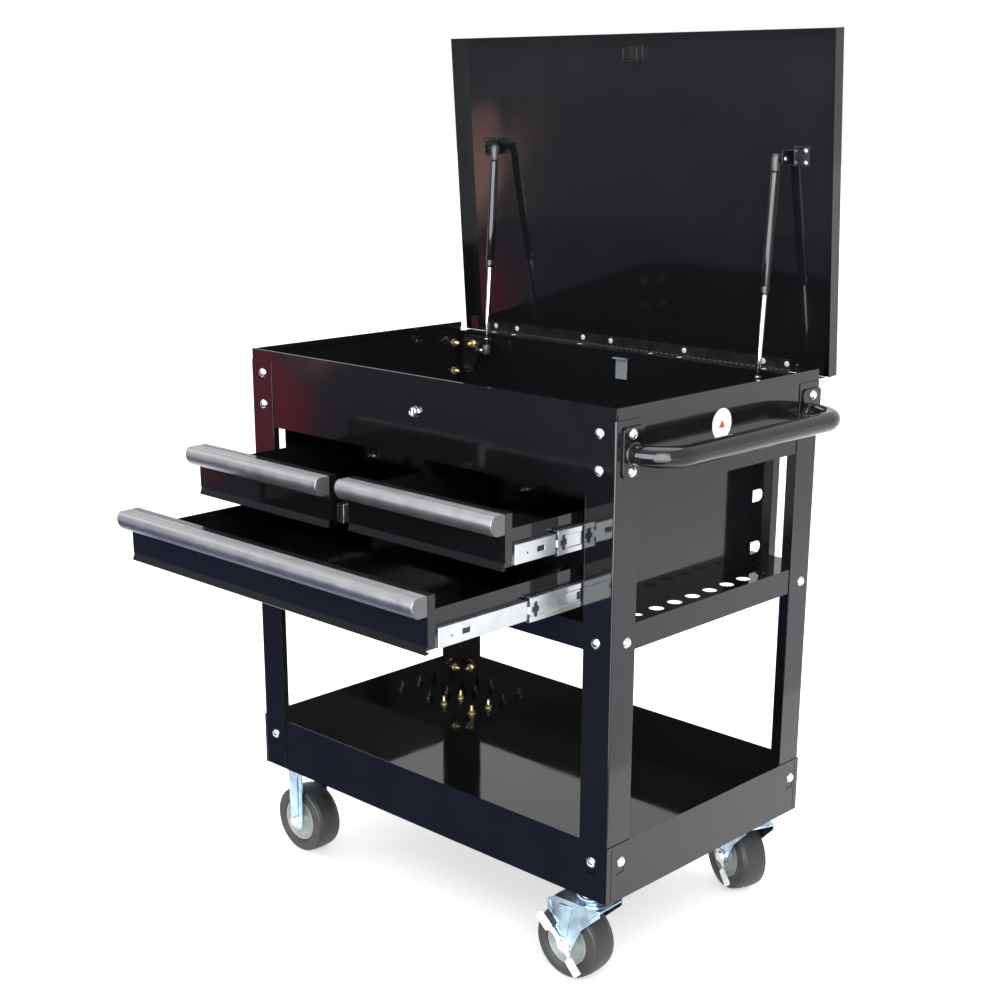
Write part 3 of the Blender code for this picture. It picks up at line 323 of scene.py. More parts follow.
SHEET_BLACK = finish("bracket_black", (0.012, 0.013, 0.016), 0.25, 0.0, 0.05, 40.0, 0.1, 500.0)
HINGE_DARK = finish("hinge_dark", (0.013, 0.013, 0.015), 0.3, 0.2, 0.06, 60.0, 0.04, 900.0)
# Black plastic of the slide stops and levers; also used as painted shade in the slides' notches and slots.
BLACK_PLASTIC_AND_SHADE = finish("black_plastic_and_painted_shade", (0.01, 0.01, 0.011), 0.4, 0.0, 0.06, 80.0, 0.15, 900.0)
# Near black with no shine: painted shade for the open tray slots, and the colour of the dark seams.
SLOT_SHADE_AND_SEAM = finish("painted_slot_shade_and_seam", (0.002, 0.002, 0.002), 0.8, 0.0, 0.05, 80.0, specular=0.0)
GALVANISED = finish("galvanised", (0.33, 0.37, 0.39), 0.42, 0.3, 0.08, 90.0, 0.1, 900.0)
SCREW_ZINC = finish("screw_zinc", (0.88, 0.9, 0.92), 0.4, 0.3, 0.06, 90.0, 0.1, 900.0)
CAP_GREY = finish("cap_grey", (0.105, 0.105, 0.11), 0.42, 0.0, 0.06, 80.0, 0.15, 900.0)
SOCKET_GREY = finish("socket_grey", (0.055, 0.058, 0.062), 0.3, 0.0, 0.06, 80.0, 0.1, 900.0)
STICKER_WHITE = finish("sticker_white", (0.86, 0.86, 0.85), 0.45, 0.0, 0.05, 60.0, 0.05, 900.0, 0.02)
STICKER_RED = finish("sticker_red", (0.62, 0.06, 0.04), 0.45, 0.0, 0.05, 60.0, 0.05, 900.0)


# ---- mesh building
def rectangle(low, high):
    """Outline of a rectangle from its low and high corners."""
    return [(low[0], low[1]), (high[0], low[1]), (high[0], high[1]), (low[0], high[1])]


def arc(centre, radius, start, end, steps):
    """Points of a circular arc in a plane; the angles are in degrees."""
    points = []
    for n in range(steps + 1):
        angle = math.radians(start + (end - start) * n / steps)
        points.append((centre[0] + radius * math.cos(angle), centre[1] + radius * math.sin(angle)))
    return points


def circle(centre, radius, sides):
    """A closed circle without its repeated last point."""
    return arc(centre, radius, 0, 360, sides)[:-1]


def rounded_rectangle(low, high, radius, steps=5):
    """Outline of a rectangle with rounded corners."""
    corners = (
        ((high[0] - radius, high[1] - radius), 0), ((low[0] + radius, high[1] - radius), 90),
        ((low[0] + radius, low[1] + radius), 180), ((high[0] - radius, low[1] + radius), 270),
    )
    outline = []
    for centre, start in corners:
        outline += arc(centre, radius, start, start + 90, steps)
    return outline


def bridge(mesh, one, two):
    """Faces between two rings of vertices; either ring may be a single point."""
    count = max(len(one), len(two))
    for n in range(count):
        after = (n + 1) % count
        ring = [one[n % len(one)], one[after % len(one)], two[after % len(two)], two[n % len(two)]]
        mesh.faces.new(list(dict.fromkeys(ring)))


def add_prism(mesh, outline, axis, low, high, turn=None):
    """Adds a straight prism: an outline in the plane across the axis, from low to high along it."""
    rings = []
    for level in (low, high):
        ring = []
        for point in outline:
            place = list(point)
            place.insert(axis, level)
            ring.append(mesh.verts.new(turn @ Vector(place) if turn else place))
        rings.append(ring)
    bridge(mesh, rings[0], rings[1])
    mesh.faces.new(rings[0][::-1])
    mesh.faces.new(rings[1])


def add_box(mesh, low, high, turn=None):
    """Adds a box from two opposite corners."""
    low, high = [min(a, b) for a, b in zip(low, high)], [max(a, b) for a, b in zip(low, high)]
    add_prism(mesh, rectangle(low[:2], high[:2]), 2, low[2], high[2], turn)


def add_turned(mesh, profile, axis, sides, centre=(0, 0, 0), turn=None, closed=False):
    """Adds a turned solid of (radius, along) points about an axis through the centre."""
    rings = []
    for radius, along in profile:
        ring = []
        for n in range(1 if radius == 0 else sides):
            angle = 2 * math.pi * (n + 0.5) / sides
            place = [radius * math.cos(angle), radius * math.sin(angle)]
            place.insert(axis, along)
            place = Vector(place) + Vector(centre)
            ring.append(mesh.verts.new(turn @ place if turn else place))
        rings.append(ring)
    pairs = list(zip(rings, rings[1:]))
    if closed:
        pairs.append((rings[-1], rings[0]))
    for one, two in pairs:
        bridge(mesh, one, two)


def add_swept(mesh, path, radius, sides):
    """Adds a round bar along a level path, with flat ends."""
    rings = []
    last = len(path) - 1
    for n, centre in enumerate(path):
        heading = (path[min(n + 1, last)] - path[max(n - 1, 0)]).normalized()
        across = heading.cross(Vector((0, 0, 1)))
        ring = []
        for side in range(sides):
            angle = 2 * math.pi * side / sides
            offset = across * math.cos(angle) + Vector((0, 0, 1)) * math.sin(angle)
            ring.append(mesh.verts.new(centre + offset * radius))
        rings.append(ring)
    for one, two in zip(rings, rings[1:]):
        bridge(mesh, one, two)
    mesh.faces.new(rings[0][::-1])
    mesh.faces.new(rings[-1])


def round_edges(thing, width, angle):
    """Rounds the edges that are sharper than the angle, in degrees."""
    bevel = thing.modifiers.new("edge_rounding", "BEVEL")
    bevel.width = width
    bevel.segments = 2
    bevel.limit_method = "ANGLE"
    bevel.angle_limit = math.radians(angle)


def piece(name, mesh, look, body, replaces=(), rounding=0.0, sharp=38.0):
    """Makes one named piece from a mesh in the cart frame, and lets it ride on its body."""
    bmesh.ops.recalc_face_normals(mesh, faces=mesh.faces)
    bmesh.ops.translate(mesh, verts=mesh.verts, vec=CART)
    data = bpy.data.meshes.new(name)
    mesh.to_mesh(data)
    mesh.free()
    data.materials.append(look)
    data.shade_smooth()
    data.set_sharp_from_angle(angle=math.radians(sharp))
    thing = add_object(name, data)
    if rounding:
        round_edges(thing, rounding, sharp)
    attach(thing, body)
    if replaces:
        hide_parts(*replaces)
    return thing


# ---- fasteners
# Turned profiles are points (radius, height over the face).
BOLT_PROFILE = ((0, -0.0006), (0.0082, -0.0006), (0.0082, 0.0008), (0.0074, 0.0012), (0.007, 0.0026),
                (0.0058, 0.004), (0.0038, 0.0049), (0.0018, 0.0053), (0, 0.0054))
SCREW_PROFILE = ((0, -0.0004), (0.0042, -0.0004), (0.0042, 0.0008), (0.0036, 0.0019), (0.0022, 0.0026),
                 (0, 0.0028))
HINGE_SCREW_PROFILE = ((0, -0.0004), (0.0048, -0.0004), (0.0048, 0.0001), (0.0036, 0.00035), (0, 0.0004))
THREAD_TURNS = 6


def outward(axis, sign, centre):
    """A matrix that takes +Z to the given direction along an axis, at the centre."""
    turns = {
        0: Matrix.Rotation(sign * math.pi / 2, 4, "Y"),
        1: Matrix.Rotation(-sign * math.pi / 2, 4, "X"),
        2: Matrix.Rotation(0 if sign > 0 else math.pi, 4, "X"),
    }
    return Matrix.Translation(centre) @ turns[axis]


def add_bolt(mesh, axis, sign, centre, profile=BOLT_PROFILE):
    """Adds a domed head that stands on a face and points along an axis."""
    add_turned(mesh, profile, 2, 24, turn=outward(axis, sign, centre))


def add_nut(mesh, axis, sign, centre, radius=0.0064, height=0.0056, stub=0.0085):
    """Adds a flanged hexagon nut with the ridged end of its screw."""
    turn = outward(axis, sign, centre)
    flange = ((0, -0.0004), (radius * 1.25, -0.0004), (radius * 1.2, 0.0012), (0, 0.0012))
    add_turned(mesh, flange, 2, 24, turn=turn)
    add_prism(mesh, circle((0, 0), radius, 6), 2, 0.001, height, turn)
    thread = [(0, height - 0.001)]
    for n in range(THREAD_TURNS):
        level = height + n * stub / THREAD_TURNS
        thread += [(radius * 0.46, level), (radius * 0.52, level + stub / 14)]
    thread += [(radius * 0.4, height + stub), (0, height + stub)]
    add_turned(mesh, thread, 2, 14, turn=turn)


# ---- frame details
# Sides are -1 left and 1 right; ends are -1 front and 1 rear.
CORNERS = [(side, end) for side in (-1, 1) for end in (-1, 1)]
POST_THICKNESS = 0.0015
POST_WIDTH = 0.0555
POST_BOTTOM = 0.1735
POST_TOP = 0.9362
POST_BEND = 0.0034
BEND_EDGE = 0.0004
POST_FACE_X = 0.419
POST_FACE_Y = 0.2597
NUT_FACE_DEPTH = 0.0031
TRAY_FACE_X = 0.4205
BOX_BOLTS = (0.9148, 0.8597)
SHELF_BOLT = 0.5967
TRAY_BOLT = 0.2376
BOX_BOLT_X = 0.3876
LOW_BOLT_X = 0.3887
LEFT_BOLT_Y = (-0.2227, 0.2387)
SHELF_BOLT_Y = (-0.2238, 0.2357)
TRAY_BOLT_Y = (-0.226, 0.236)
HANDLE_BOLT_Y = (-0.2265, 0.235)
CASTER_X = 0.358
CASTER_Y = 0.212
CASTER_BOLT_X = 0.0405
CASTER_BOLT_Y = 0.0245
TRAY_FLOOR_TOP = 0.1733
CASTER_PLATE_UNDER = 0.1681
HANDLE_PLATES = (-0.2225, 0.235)
HANDLE_PLATE_FACE = 0.4228
HANDLE_PLATE_HALF = 0.024
HANDLE_PLATE_LOW = 0.8505
HANDLE_PLATE_HIGH = 0.9255
HANDLE_X = 0.4825
HANDLE_Z = 0.8845
HANDLE_BEND = 0.052
HANDLE_RADIUS = 0.016


def make_posts():
    """Corner posts: an L section with a rounded bend."""
    # Points beside the bend keep its smooth shading off the flat faces.
    centre = (HALF_WIDTH - POST_BEND, HALF_DEPTH - POST_BEND)
    inside = (HALF_WIDTH - POST_THICKNESS, HALF_DEPTH - POST_THICKNESS)
    near = (centre[0] - BEND_EDGE, centre[1] - BEND_EDGE)
    far = (HALF_WIDTH - POST_WIDTH, HALF_DEPTH - POST_WIDTH)
    outline = [(inside[0], far[1]), (HALF_WIDTH, far[1]), (HALF_WIDTH, near[1])]
    outline += arc(centre, POST_BEND, 0, 90, 6)
    outline += [(near[0], HALF_DEPTH), (far[0], HALF_DEPTH), (far[0], inside[1]), (near[0], inside[1])]
    outline += arc(centre, POST_BEND - POST_THICKNESS, 90, 0, 6)
    outline.append((inside[0], near[1]))
    for side, end in CORNERS:
        corner = f"{'front' if end < 0 else 'rear'}_{'left' if side < 0 else 'right'}"
        post = bmesh.new()
        add_prism(post, [(side * x, end * y) for x, y in outline], 2, POST_BOTTOM, POST_TOP)
        piece(f"bent_post_{corner}", post, GLOSS_BLACK, "frame", (f"post_{corner}",),
              rounding=0.0003, sharp=30.0)


def bolt_places():
    """Where the outside bolts are: axis, direction and place on the face."""
    places = []
    for side, end in CORNERS:
        back = end > 0
        for height in BOX_BOLTS:
            places.append((1, end, (side * BOX_BOLT_X, end * POST_FACE_Y, height)))
            if side > 0:
                places.append((0, 1, (HANDLE_PLATE_FACE, HANDLE_BOLT_Y[back], height)))
            else:
                places.append((0, -1, (-POST_FACE_X, LEFT_BOLT_Y[back], height)))
        for height, face, side_y in ((SHELF_BOLT, POST_FACE_X, SHELF_BOLT_Y),
                                     (TRAY_BOLT, TRAY_FACE_X, TRAY_BOLT_Y)):
            places.append((1, end, (side * LOW_BOLT_X, end * POST_FACE_Y, height)))
            places.append((0, side, (side * face, side_y[back], height)))
    return places


def caster_bolt_places():
    """The x and y of the four bolts in each caster plate."""
    return [(side * CASTER_X + along * CASTER_BOLT_X, end * CASTER_Y + across * CASTER_BOLT_Y)
            for side, end in CORNERS for along, across in CORNERS]


def make_frame_fasteners():
    """Domed bolts outside the posts, yellow nuts inside them, and the casters' bolts and nuts."""
    heads = bmesh.new()
    for axis, sign, centre in bolt_places():
        add_bolt(heads, axis, sign, centre)
    piece("frame_bolts", heads, BRIGHT_BOLT, "frame")
    nuts = bmesh.new()
    inner = (POST_FACE_X - NUT_FACE_DEPTH, POST_FACE_Y - NUT_FACE_DEPTH)
    for axis, sign, centre in bolt_places():
        place = list(centre)
        place[axis] = sign * inner[axis]
        behind_gusset = axis == 1 and sign > 0 and centre[2] in BOX_BOLTS
        if centre[2] != SHELF_BOLT and not behind_gusset:
            add_nut(nuts, axis, -sign, place)
    piece("frame_nuts", nuts, YELLOW_ZINC, "frame")
    studs = bmesh.new()
    heads = bmesh.new()
    for x, y in caster_bolt_places():
        add_nut(studs, 2, 1, (x, y, TRAY_FLOOR_TOP), 0.0066, 0.0066, 0.011)
        turn = outward(2, -1, (x, y, CASTER_PLATE_UNDER))
        add_prism(heads, circle((0, 0), 0.0073, 6), 2, -0.0003, 0.0048, turn)
    piece("caster_stud_nuts", studs, YELLOW_ZINC, "frame")
    piece("caster_bolt_heads", heads, ZINC, "frame", rounding=0.0004)


def handle_centre_line(start_x):
    """Centre line of the push handle, from its front plate round both bends to the back plate."""
    front, back = HANDLE_PLATES
    points = [Vector((start_x, front, HANDLE_Z))]
    for centre_y, start, end in ((front + HANDLE_BEND, -90, 0), (back - HANDLE_BEND, 0, 90)):
        for x, y in arc((HANDLE_X - HANDLE_BEND, centre_y), HANDLE_BEND, start, end, 18):
            points.append(Vector((x, y, HANDLE_Z)))
    points.append(Vector((start_x, back, HANDLE_Z)))
    return points


def make_push_handle():
    """Smooth bent tube with a weld bead at each end, on two plates with rounded corners."""
    tube = bmesh.new()
    add_swept(tube, handle_centre_line(POST_FACE_X + 0.0025), HANDLE_RADIUS, 40)
    bead = [(HANDLE_RADIUS - 0.001, 0.0), (HANDLE_RADIUS + 0.0028, 0.0), (HANDLE_RADIUS + 0.0026, 0.0012),
            (HANDLE_RADIUS + 0.0012, 0.0026), (HANDLE_RADIUS - 0.001, 0.0034)]
    for centre_y in HANDLE_PLATES:
        outline = rounded_rectangle((centre_y - HANDLE_PLATE_HALF, HANDLE_PLATE_LOW),
                                    (centre_y + HANDLE_PLATE_HALF, HANDLE_PLATE_HIGH), 0.007)
        add_prism(tube, outline, 0, POST_FACE_X + 0.0003, HANDLE_PLATE_FACE)
        add_turned(tube, bead, 0, 40, (HANDLE_PLATE_FACE - 0.0003, centre_y, HANDLE_Z), closed=True)
    piece("push_handle_tube", tube, GLOSS_BLACK, "frame", ("push_handle",), rounding=0.0005)


# ---- lock, sticker and details of the box
LOCK_FACE_Y = -0.2579
LOCK_Z = 0.8966
LOCK_DEPTH = 0.0195
KEY_SLOT_HALF = 0.0008
STICKER_FACE_X = 0.41722
STICKER_CENTRE = (-0.005, 0.899)
STICKER_RADIUS = 0.0245
STICKER_MARK_RADIUS = 0.0085
BACK_WALL_Y = 0.2564
BRACKET_TOP = 0.9262
GUSSET_BOLT_X = 0.379
STRUT_TAB_X = 0.3333
STRUT_TAB_END = 0.3349
STRUT_X = 0.3165
STRUT_LOW = Vector((0, 0.228, 0.9095))
STRUT_TOP = Vector((0, 0.251, 1.2855))
MARK_DEPTH = 0.0002
MARK_STAND = 0.00008
SEAM_HALF = 0.0006
SEAM_Y = 0.2487
SEAM_ENDS = (0.176, 0.263)
CATCH_X = 0.18
CATCH_TOP = 0.8248


def make_lock():
    """Chrome lock barrel on the front panel, and the plug with its key slot and cam."""
    ring = bmesh.new()
    profile = [(0.0066, 0.0002), (0.009, 0.0002), (0.009, -0.001), (0.0084, -0.0016), (0.0083, -0.0066),
               (0.0078, -0.0074), (0.007, -0.0076), (0.0066, -0.0073)]
    add_turned(ring, profile, 1, 36, (0, LOCK_FACE_Y, LOCK_Z), closed=True)
    piece("lock_barrel", ring, CHROME, "frame")
    plug = bmesh.new()
    half_round = [point for point in circle((0, 0), 0.0061, 28) if point[0] > KEY_SLOT_HALF]
    for sign in (-1, 1):
        half = [(sign * x, LOCK_Z + z) for x, z in half_round]
        add_prism(plug, half, 1, LOCK_FACE_Y - 0.0076, LOCK_FACE_Y + LOCK_DEPTH)
    add_box(plug, (-0.0012, LOCK_FACE_Y - 0.006, LOCK_Z - 0.0058),
            (0.0012, LOCK_FACE_Y + LOCK_DEPTH, LOCK_Z + 0.0058))
    add_box(plug, (-0.006, LOCK_FACE_Y + 0.017, LOCK_Z - 0.005),
            (0.006, LOCK_FACE_Y + 0.019, LOCK_Z + 0.026))
    piece("lock_plug_keyed", plug, CHROME, "lock", ("lock_plug",), rounding=0.0002)


def make_sticker():
    """Round white sticker on the right panel, with a plain red triangle."""
    disc = bmesh.new()
    add_prism(disc, circle(STICKER_CENTRE, STICKER_RADIUS, 56), 0, STICKER_FACE_X, STICKER_FACE_X + 0.0003)
    piece("round_sticker", disc, STICKER_WHITE, "frame")
    mark = bmesh.new()
    triangle = arc((STICKER_CENTRE[0], STICKER_CENTRE[1] - 0.0015), STICKER_MARK_RADIUS, 90, 330, 2)
    add_prism(mark, triangle, 0, STICKER_FACE_X + 0.00028, STICKER_FACE_X + 0.0004)
    piece("sticker_mark", mark, STICKER_RED, "frame", rounding=0.00005)


def make_lock_bar_bracket():
    """Small upright plate on the back wall, with a lip folded forward at its top."""
    bracket = bmesh.new()
    add_box(bracket, (-0.014, 0.2548, 0.889), (0.012, BACK_WALL_Y, BRACKET_TOP))
    add_box(bracket, (-0.017, 0.247, BRACKET_TOP - 0.0004), (0.012, 0.256, BRACKET_TOP + 0.001))
    piece("lock_bar_bracket", bracket, GALVANISED, "frame", rounding=0.0003)


def make_strut_gussets():
    """Corner gussets on the back wall; each has a tab that holds the strut's lower stud."""
    gussets = bmesh.new()
    extra = bmesh.new()
    outline = [(0.405, 0.931), (0.331, 0.931), (0.331, 0.909), (0.3445, 0.914), (0.3785, 0.867),
               (0.405, 0.862)]
    tab = [(0.2556, 0.929), (0.23, 0.926), (0.2185, 0.9185), (0.2165, 0.9075), (0.2235, 0.8985),
           (0.2556, 0.902)]
    for sign in (-1, 1):
        add_prism(gussets, [(sign * x, z) for x, z in outline], 1, 0.254, 0.256)
        add_prism(gussets, tab, 0, sign * STRUT_TAB_X, sign * STRUT_TAB_END)
        add_nut(extra, 1, -1, (sign * GUSSET_BOLT_X, 0.254, BOX_BOLTS[0]), 0.0066, 0.006, 0.008)
        add_bolt(extra, 0, sign, (sign * STRUT_TAB_END, STRUT_LOW.y, STRUT_LOW.z), SCREW_PROFILE)
    piece("strut_gussets", gussets, SHEET_BLACK, "frame", rounding=0.0005)
    piece("gusset_nuts", extra, YELLOW_ZINC, "frame")


def make_tray_marks():
    """Thin dark marks on the tray: painted shade standing for a small L-shaped slot under each bolt, and a
    dark seam by each side's end.
    """
    marks = bmesh.new()
    slot = [(-0.0085, -0.0225), (-0.007, -0.0225), (-0.007, -0.019), (0.0078, -0.019), (0.0078, -0.011),
            (0.0064, -0.011), (0.0064, -0.0176), (-0.0085, -0.0176)]
    for axis, sign, centre in bolt_places():
        if centre[2] != TRAY_BOLT:
            continue
        face = sign * (TRAY_FACE_X if axis == 0 else POST_FACE_Y)
        outline = [(centre[1 - axis] + across, centre[2] + up) for across, up in slot]
        add_prism(marks, outline, axis, face - sign * MARK_DEPTH, face + sign * MARK_STAND)
    for side, end in CORNERS:
        y = end * SEAM_Y
        add_box(marks, (side * (TRAY_FACE_X - MARK_DEPTH), y - SEAM_HALF, SEAM_ENDS[0]),
                (side * (TRAY_FACE_X + MARK_STAND), y + SEAM_HALF, SEAM_ENDS[1]))
    # The slot marks are painted shade in place of open slots; the seams are dark joints.
    piece("tray_slot_shade_and_seams", marks, SLOT_SHADE_AND_SEAM, "frame")


def make_catches():
    """Two zinc catches under the box floor, each on a pair of black strips."""
    hangers = bmesh.new()
    strips = bmesh.new()
    for x in (-CATCH_X, CATCH_X):
        add_box(hangers, (x - 0.013, -0.186, 0.788), (x - 0.008, -0.184, CATCH_TOP))
        add_box(hangers, (x - 0.0012, -0.186, 0.788), (x + 0.004, -0.184, CATCH_TOP))
        add_box(strips, (x - 0.013, -0.19, 0.785), (x + 0.004, -0.18, 0.7878))
        add_box(strips, (x - 0.003, -0.2, 0.7862), (x, -0.176, 0.7876))
    piece("catch_hangers", hangers, SHEET_BLACK, "frame", rounding=0.0003)
    piece("drawer_catches", strips, ZINC, "frame", rounding=0.0003)


# ---- drawer slides and pulls
DRAWER_WALL_X = 0.3488
DIVIDER_X = 0.0085
# Each drawer: its slides' walls (x, direction away from the wall), their middle height, the front end of the
# intermediate members, and how far the drawer is pulled out.
SLIDES = {
    "upper_left": (((-DRAWER_WALL_X, 1), (-DIVIDER_X, -1)), 0.751, -0.308, -0.17),
    "upper_right": (((DIVIDER_X, 1), (DRAWER_WALL_X, -1)), 0.751, -0.301, -0.1565),
    "wide": (((-DRAWER_WALL_X, 1), (DRAWER_WALL_X, -1)), 0.6615, -0.36, -0.31),
}
MIDDLE_LENGTH = 0.375
MIDDLE_HALF = 0.01925
INNER_ENDS = (-0.2337, 0.1723)
INNER_HALF = 0.015
INNER_WEB = (0.0039, 0.0049)
INNER_FLANGE = 0.0125
INNER_SHEET = 0.001
INNER_SLOT = (0.047, 0.063)
INNER_SLOT_HALF = 0.004


def middle_outline():
    """Section of an intermediate member: (from the fixed side, up), with two raised bands."""
    upper = [(0.0108, MIDDLE_HALF), (0.0028, MIDDLE_HALF), (0.0017, MIDDLE_HALF - 0.0011),
             (0.0017, MIDDLE_HALF - 0.0088), (0.0027, MIDDLE_HALF - 0.0098)]
    inner = [(0.0036, MIDDLE_HALF - 0.0094), (0.0027, MIDDLE_HALF - 0.0084), (0.0027, MIDDLE_HALF - 0.0016),
             (0.0034, MIDDLE_HALF - 0.001), (0.0108, MIDDLE_HALF - 0.001)]
    outer = upper + [(depth, -up) for depth, up in reversed(upper)]
    back = [(depth, -up) for depth, up in reversed(inner)] + inner
    return outer + back


def across_from(wall, depth):
    """The x at a depth from the wall that a slide is fixed to."""
    return wall[0] + wall[1] * depth


def make_middle_member(name, side, wall, mid_z, front):
    """Intermediate member with its two bands."""
    middle = bmesh.new()
    outline = [(across_from(wall, depth), mid_z + up) for depth, up in middle_outline()]
    add_prism(middle, outline, 1, front, front + MIDDLE_LENGTH)
    piece(f"middle_member_{name}_{side}", middle, BRIGHT_ZINC, f"slides_{name}",
          (f"slide_middle_{name}_{side}",), rounding=0.0002)


def make_slide_stops(name, side, wall, mid_z, front):
    """Black stops and release lever at the front of an intermediate member, and a dark plate behind them as
    painted shade for a notch.
    """
    dark = bmesh.new()
    for low, high in ((-0.0165, -0.0058), (0.0058, 0.0165)):
        add_box(dark, (across_from(wall, 0.0022), front - 0.0035, mid_z + low),
                (across_from(wall, 0.0098), front + 0.0004, mid_z + high))
    upper = [(0.019, 0.004), (0.016, 0.004), (0.015, 0.0118), (0.0105, 0.0118), (0.0095, 0.004),
             (0.006, 0.004)]
    lever = [(along, -up) for along, up in reversed(upper)] + upper
    add_prism(dark, [(front + along, mid_z + up) for along, up in lever], 0, across_from(wall, 0.0014),
              across_from(wall, 0.0027))
    # Painted shade: a thin dark plate stands for the open notch.
    notch = rectangle((front + 0.104, mid_z - 0.006), (front + 0.111, mid_z + 0.006))
    add_prism(dark, notch, 0, across_from(wall, 0.0024), across_from(wall, 0.0028))
    piece(f"slide_stops_{name}_{side}", dark, BLACK_PLASTIC_AND_SHADE, f"slides_{name}", rounding=0.0003)


def make_drawer_member(name, side, wall, mid_z, ends):
    """Drawer member: a channel with a slot through its web and a closed front end."""
    front, back = ends
    low = mid_z - INNER_HALF
    high = mid_z + INNER_HALF
    slot = (front + INNER_SLOT[0], front + INNER_SLOT[1])
    web = [across_from(wall, depth) for depth in INNER_WEB]
    flange = (web[0], across_from(wall, INNER_FLANGE))
    inner = boxes_solid([[sorted(span) for span in box] for box in (
        (web, (front, slot[0]), (low, high)),
        (web, (slot[1], back), (low, high)),
        (web, slot, (low, mid_z - INNER_SLOT_HALF)),
        (web, slot, (mid_z + INNER_SLOT_HALF, high)),
        (flange, (front, back), (high - INNER_SHEET, high)),
        (flange, (front, back), (low, low + INNER_SHEET)),
        (flange, (front, front + INNER_SHEET), (low, high)),
    )])
    piece(f"drawer_member_{name}_{side}", inner, BRIGHT_ZINC, f"drawer_{name}",
          (f"slide_inner_{name}_{side}",), rounding=0.0009)


def make_slide_marks(name, side, wall, mid_z, front):
    """Dark plate behind the slot of a drawer member, as painted shade seen through the slot, and a small dot
    in front of it.
    """
    dots = bmesh.new()
    # Painted shade: the plate darkens what shows through the slot.
    plate = rectangle((front + INNER_SLOT[0] - 0.001, mid_z - 0.005),
                      (front + INNER_SLOT[1] + 0.001, mid_z + 0.005))
    add_prism(dots, plate, 0, across_from(wall, 0.0052), across_from(wall, 0.006))
    dot = circle((front + 0.026, mid_z - 0.001), 0.0016, 14)
    add_prism(dots, dot, 0, across_from(wall, 0.0037), across_from(wall, 0.0044))
    piece(f"slide_marks_{name}_{side}", dots, BLACK_PLASTIC_AND_SHADE, f"drawer_{name}", rounding=0.0001)


def make_slides():
    """The moving members of every drawer's two slides."""
    for name, (walls, mid_z, middle_front, pulled) in SLIDES.items():
        ends = (INNER_ENDS[0] + pulled, INNER_ENDS[1] + pulled)
        for side, wall in zip(("left", "right"), walls):
            make_middle_member(name, side, wall, mid_z, middle_front)
            make_slide_stops(name, side, wall, mid_z, middle_front)
            make_drawer_member(name, side, wall, mid_z, ends)
            make_slide_marks(name, side, wall, mid_z, ends[0])


def boxes_solid(boxes):
    """The union of axis-aligned boxes as one closed mesh with its flat faces merged."""
    cuts = [sorted({round(edge, 7) for item in boxes for edge in item[axis]}) for axis in range(3)]
    filled = set()
    for i in range(len(cuts[0]) - 1):
        for j in range(len(cuts[1]) - 1):
            for k in range(len(cuts[2]) - 1):
                centre = [(cuts[axis][n] + cuts[axis][n + 1]) / 2 for axis, n in enumerate((i, j, k))]
                if any(all(item[a][0] < centre[a] < item[a][1] for a in range(3)) for item in boxes):
                    filled.add((i, j, k))
    solid = bmesh.new()
    corners = {}

    def corner(key):
        if key not in corners:
            corners[key] = solid.verts.new([cuts[axis][key[axis]] for axis in range(3)])
        return corners[key]

    for cell in sorted(filled):
        for axis in range(3):
            for step in (-1, 1):
                neighbour = list(cell)
                neighbour[axis] += step
                if tuple(neighbour) in filled:
                    continue
                first = (axis + 1) % 3
                second = (axis + 2) % 3
                ring = []
                for along_first, along_second in ((0, 0), (1, 0), (1, 1), (0, 1)):
                    key = list(cell)
                    key[axis] += (step + 1) // 2
                    key[first] += along_first
                    key[second] += along_second
                    ring.append(corner(tuple(key)))
                solid.faces.new(ring if step > 0 else ring[::-1])
    bmesh.ops.dissolve_limit(solid, angle_limit=0.01, verts=solid.verts, edges=solid.edges)
    return solid


# Each drawer's pull: its ends in x, the drawer's face and the top of the pull.
PULLS = {
    "upper_left": ((-0.35, -0.0136), -0.4297, 0.8166),
    "upper_right": ((0.0136, 0.35), -0.4162, 0.8166),
    "wide": ((-0.351, 0.351), -0.5697, 0.7303),
}
PULL_CAP = 0.0018
PULL_DEPTH = 0.0277
PULL_HEIGHT = 0.03
NOSE_DEPTH = 0.01
NOSE_HEIGHT = 0.0135
GROOVES = (0.0062, 0.0118)
FACE_OVERLAP = 0.0003


def pull_outline(face, top, grooves=()):
    """Section of a pull: flat top, grooved where asked, then a swelling nose and a narrow underside."""
    front = face - PULL_DEPTH
    middle = top - NOSE_HEIGHT
    outline = [(face, top)]
    for start in grooves:
        outline += [(face - start, top), (face - start - 0.0003, top - 0.0009),
                    (face - start - 0.0012, top - 0.0009), (face - start - 0.0015, top)]
    for across, up in arc((0, 0), 1.0, 90, 180, 14):
        outline.append((front + NOSE_DEPTH * (1 + across), middle + NOSE_HEIGHT * up))
    outline += [(front + 0.0006, middle - 0.0038), (front + 0.0022, middle - 0.0078),
                (front + 0.0056, middle - 0.0125), (front + 0.01, middle - 0.0165),
                (face, top - PULL_HEIGHT)]
    return outline


def make_pulls():
    """Satin extrusions with a grey cap at each end."""
    for name, ((left, right), drawer_face, top) in PULLS.items():
        face = drawer_face - FACE_OVERLAP
        bar = bmesh.new()
        add_prism(bar, pull_outline(face, top, GROOVES), 0, left + PULL_CAP, right - PULL_CAP)
        piece(f"pull_{name}", bar, SATIN_PULL, f"drawer_{name}", (f"drawer_pull_{name}",),
              rounding=0.0003, sharp=25.0)
        caps = bmesh.new()
        for start, end in ((left, left + PULL_CAP), (right - PULL_CAP, right)):
            add_prism(caps, pull_outline(face, top), 0, start, end)
        piece(f"pull_caps_{name}", caps, CAP_GREY, f"drawer_{name}", rounding=0.0006)


# ---- lid, hinge and struts
HINGE = Vector((0, 0.281, 0.9405))
LID_ANGLE = math.radians(85.8)
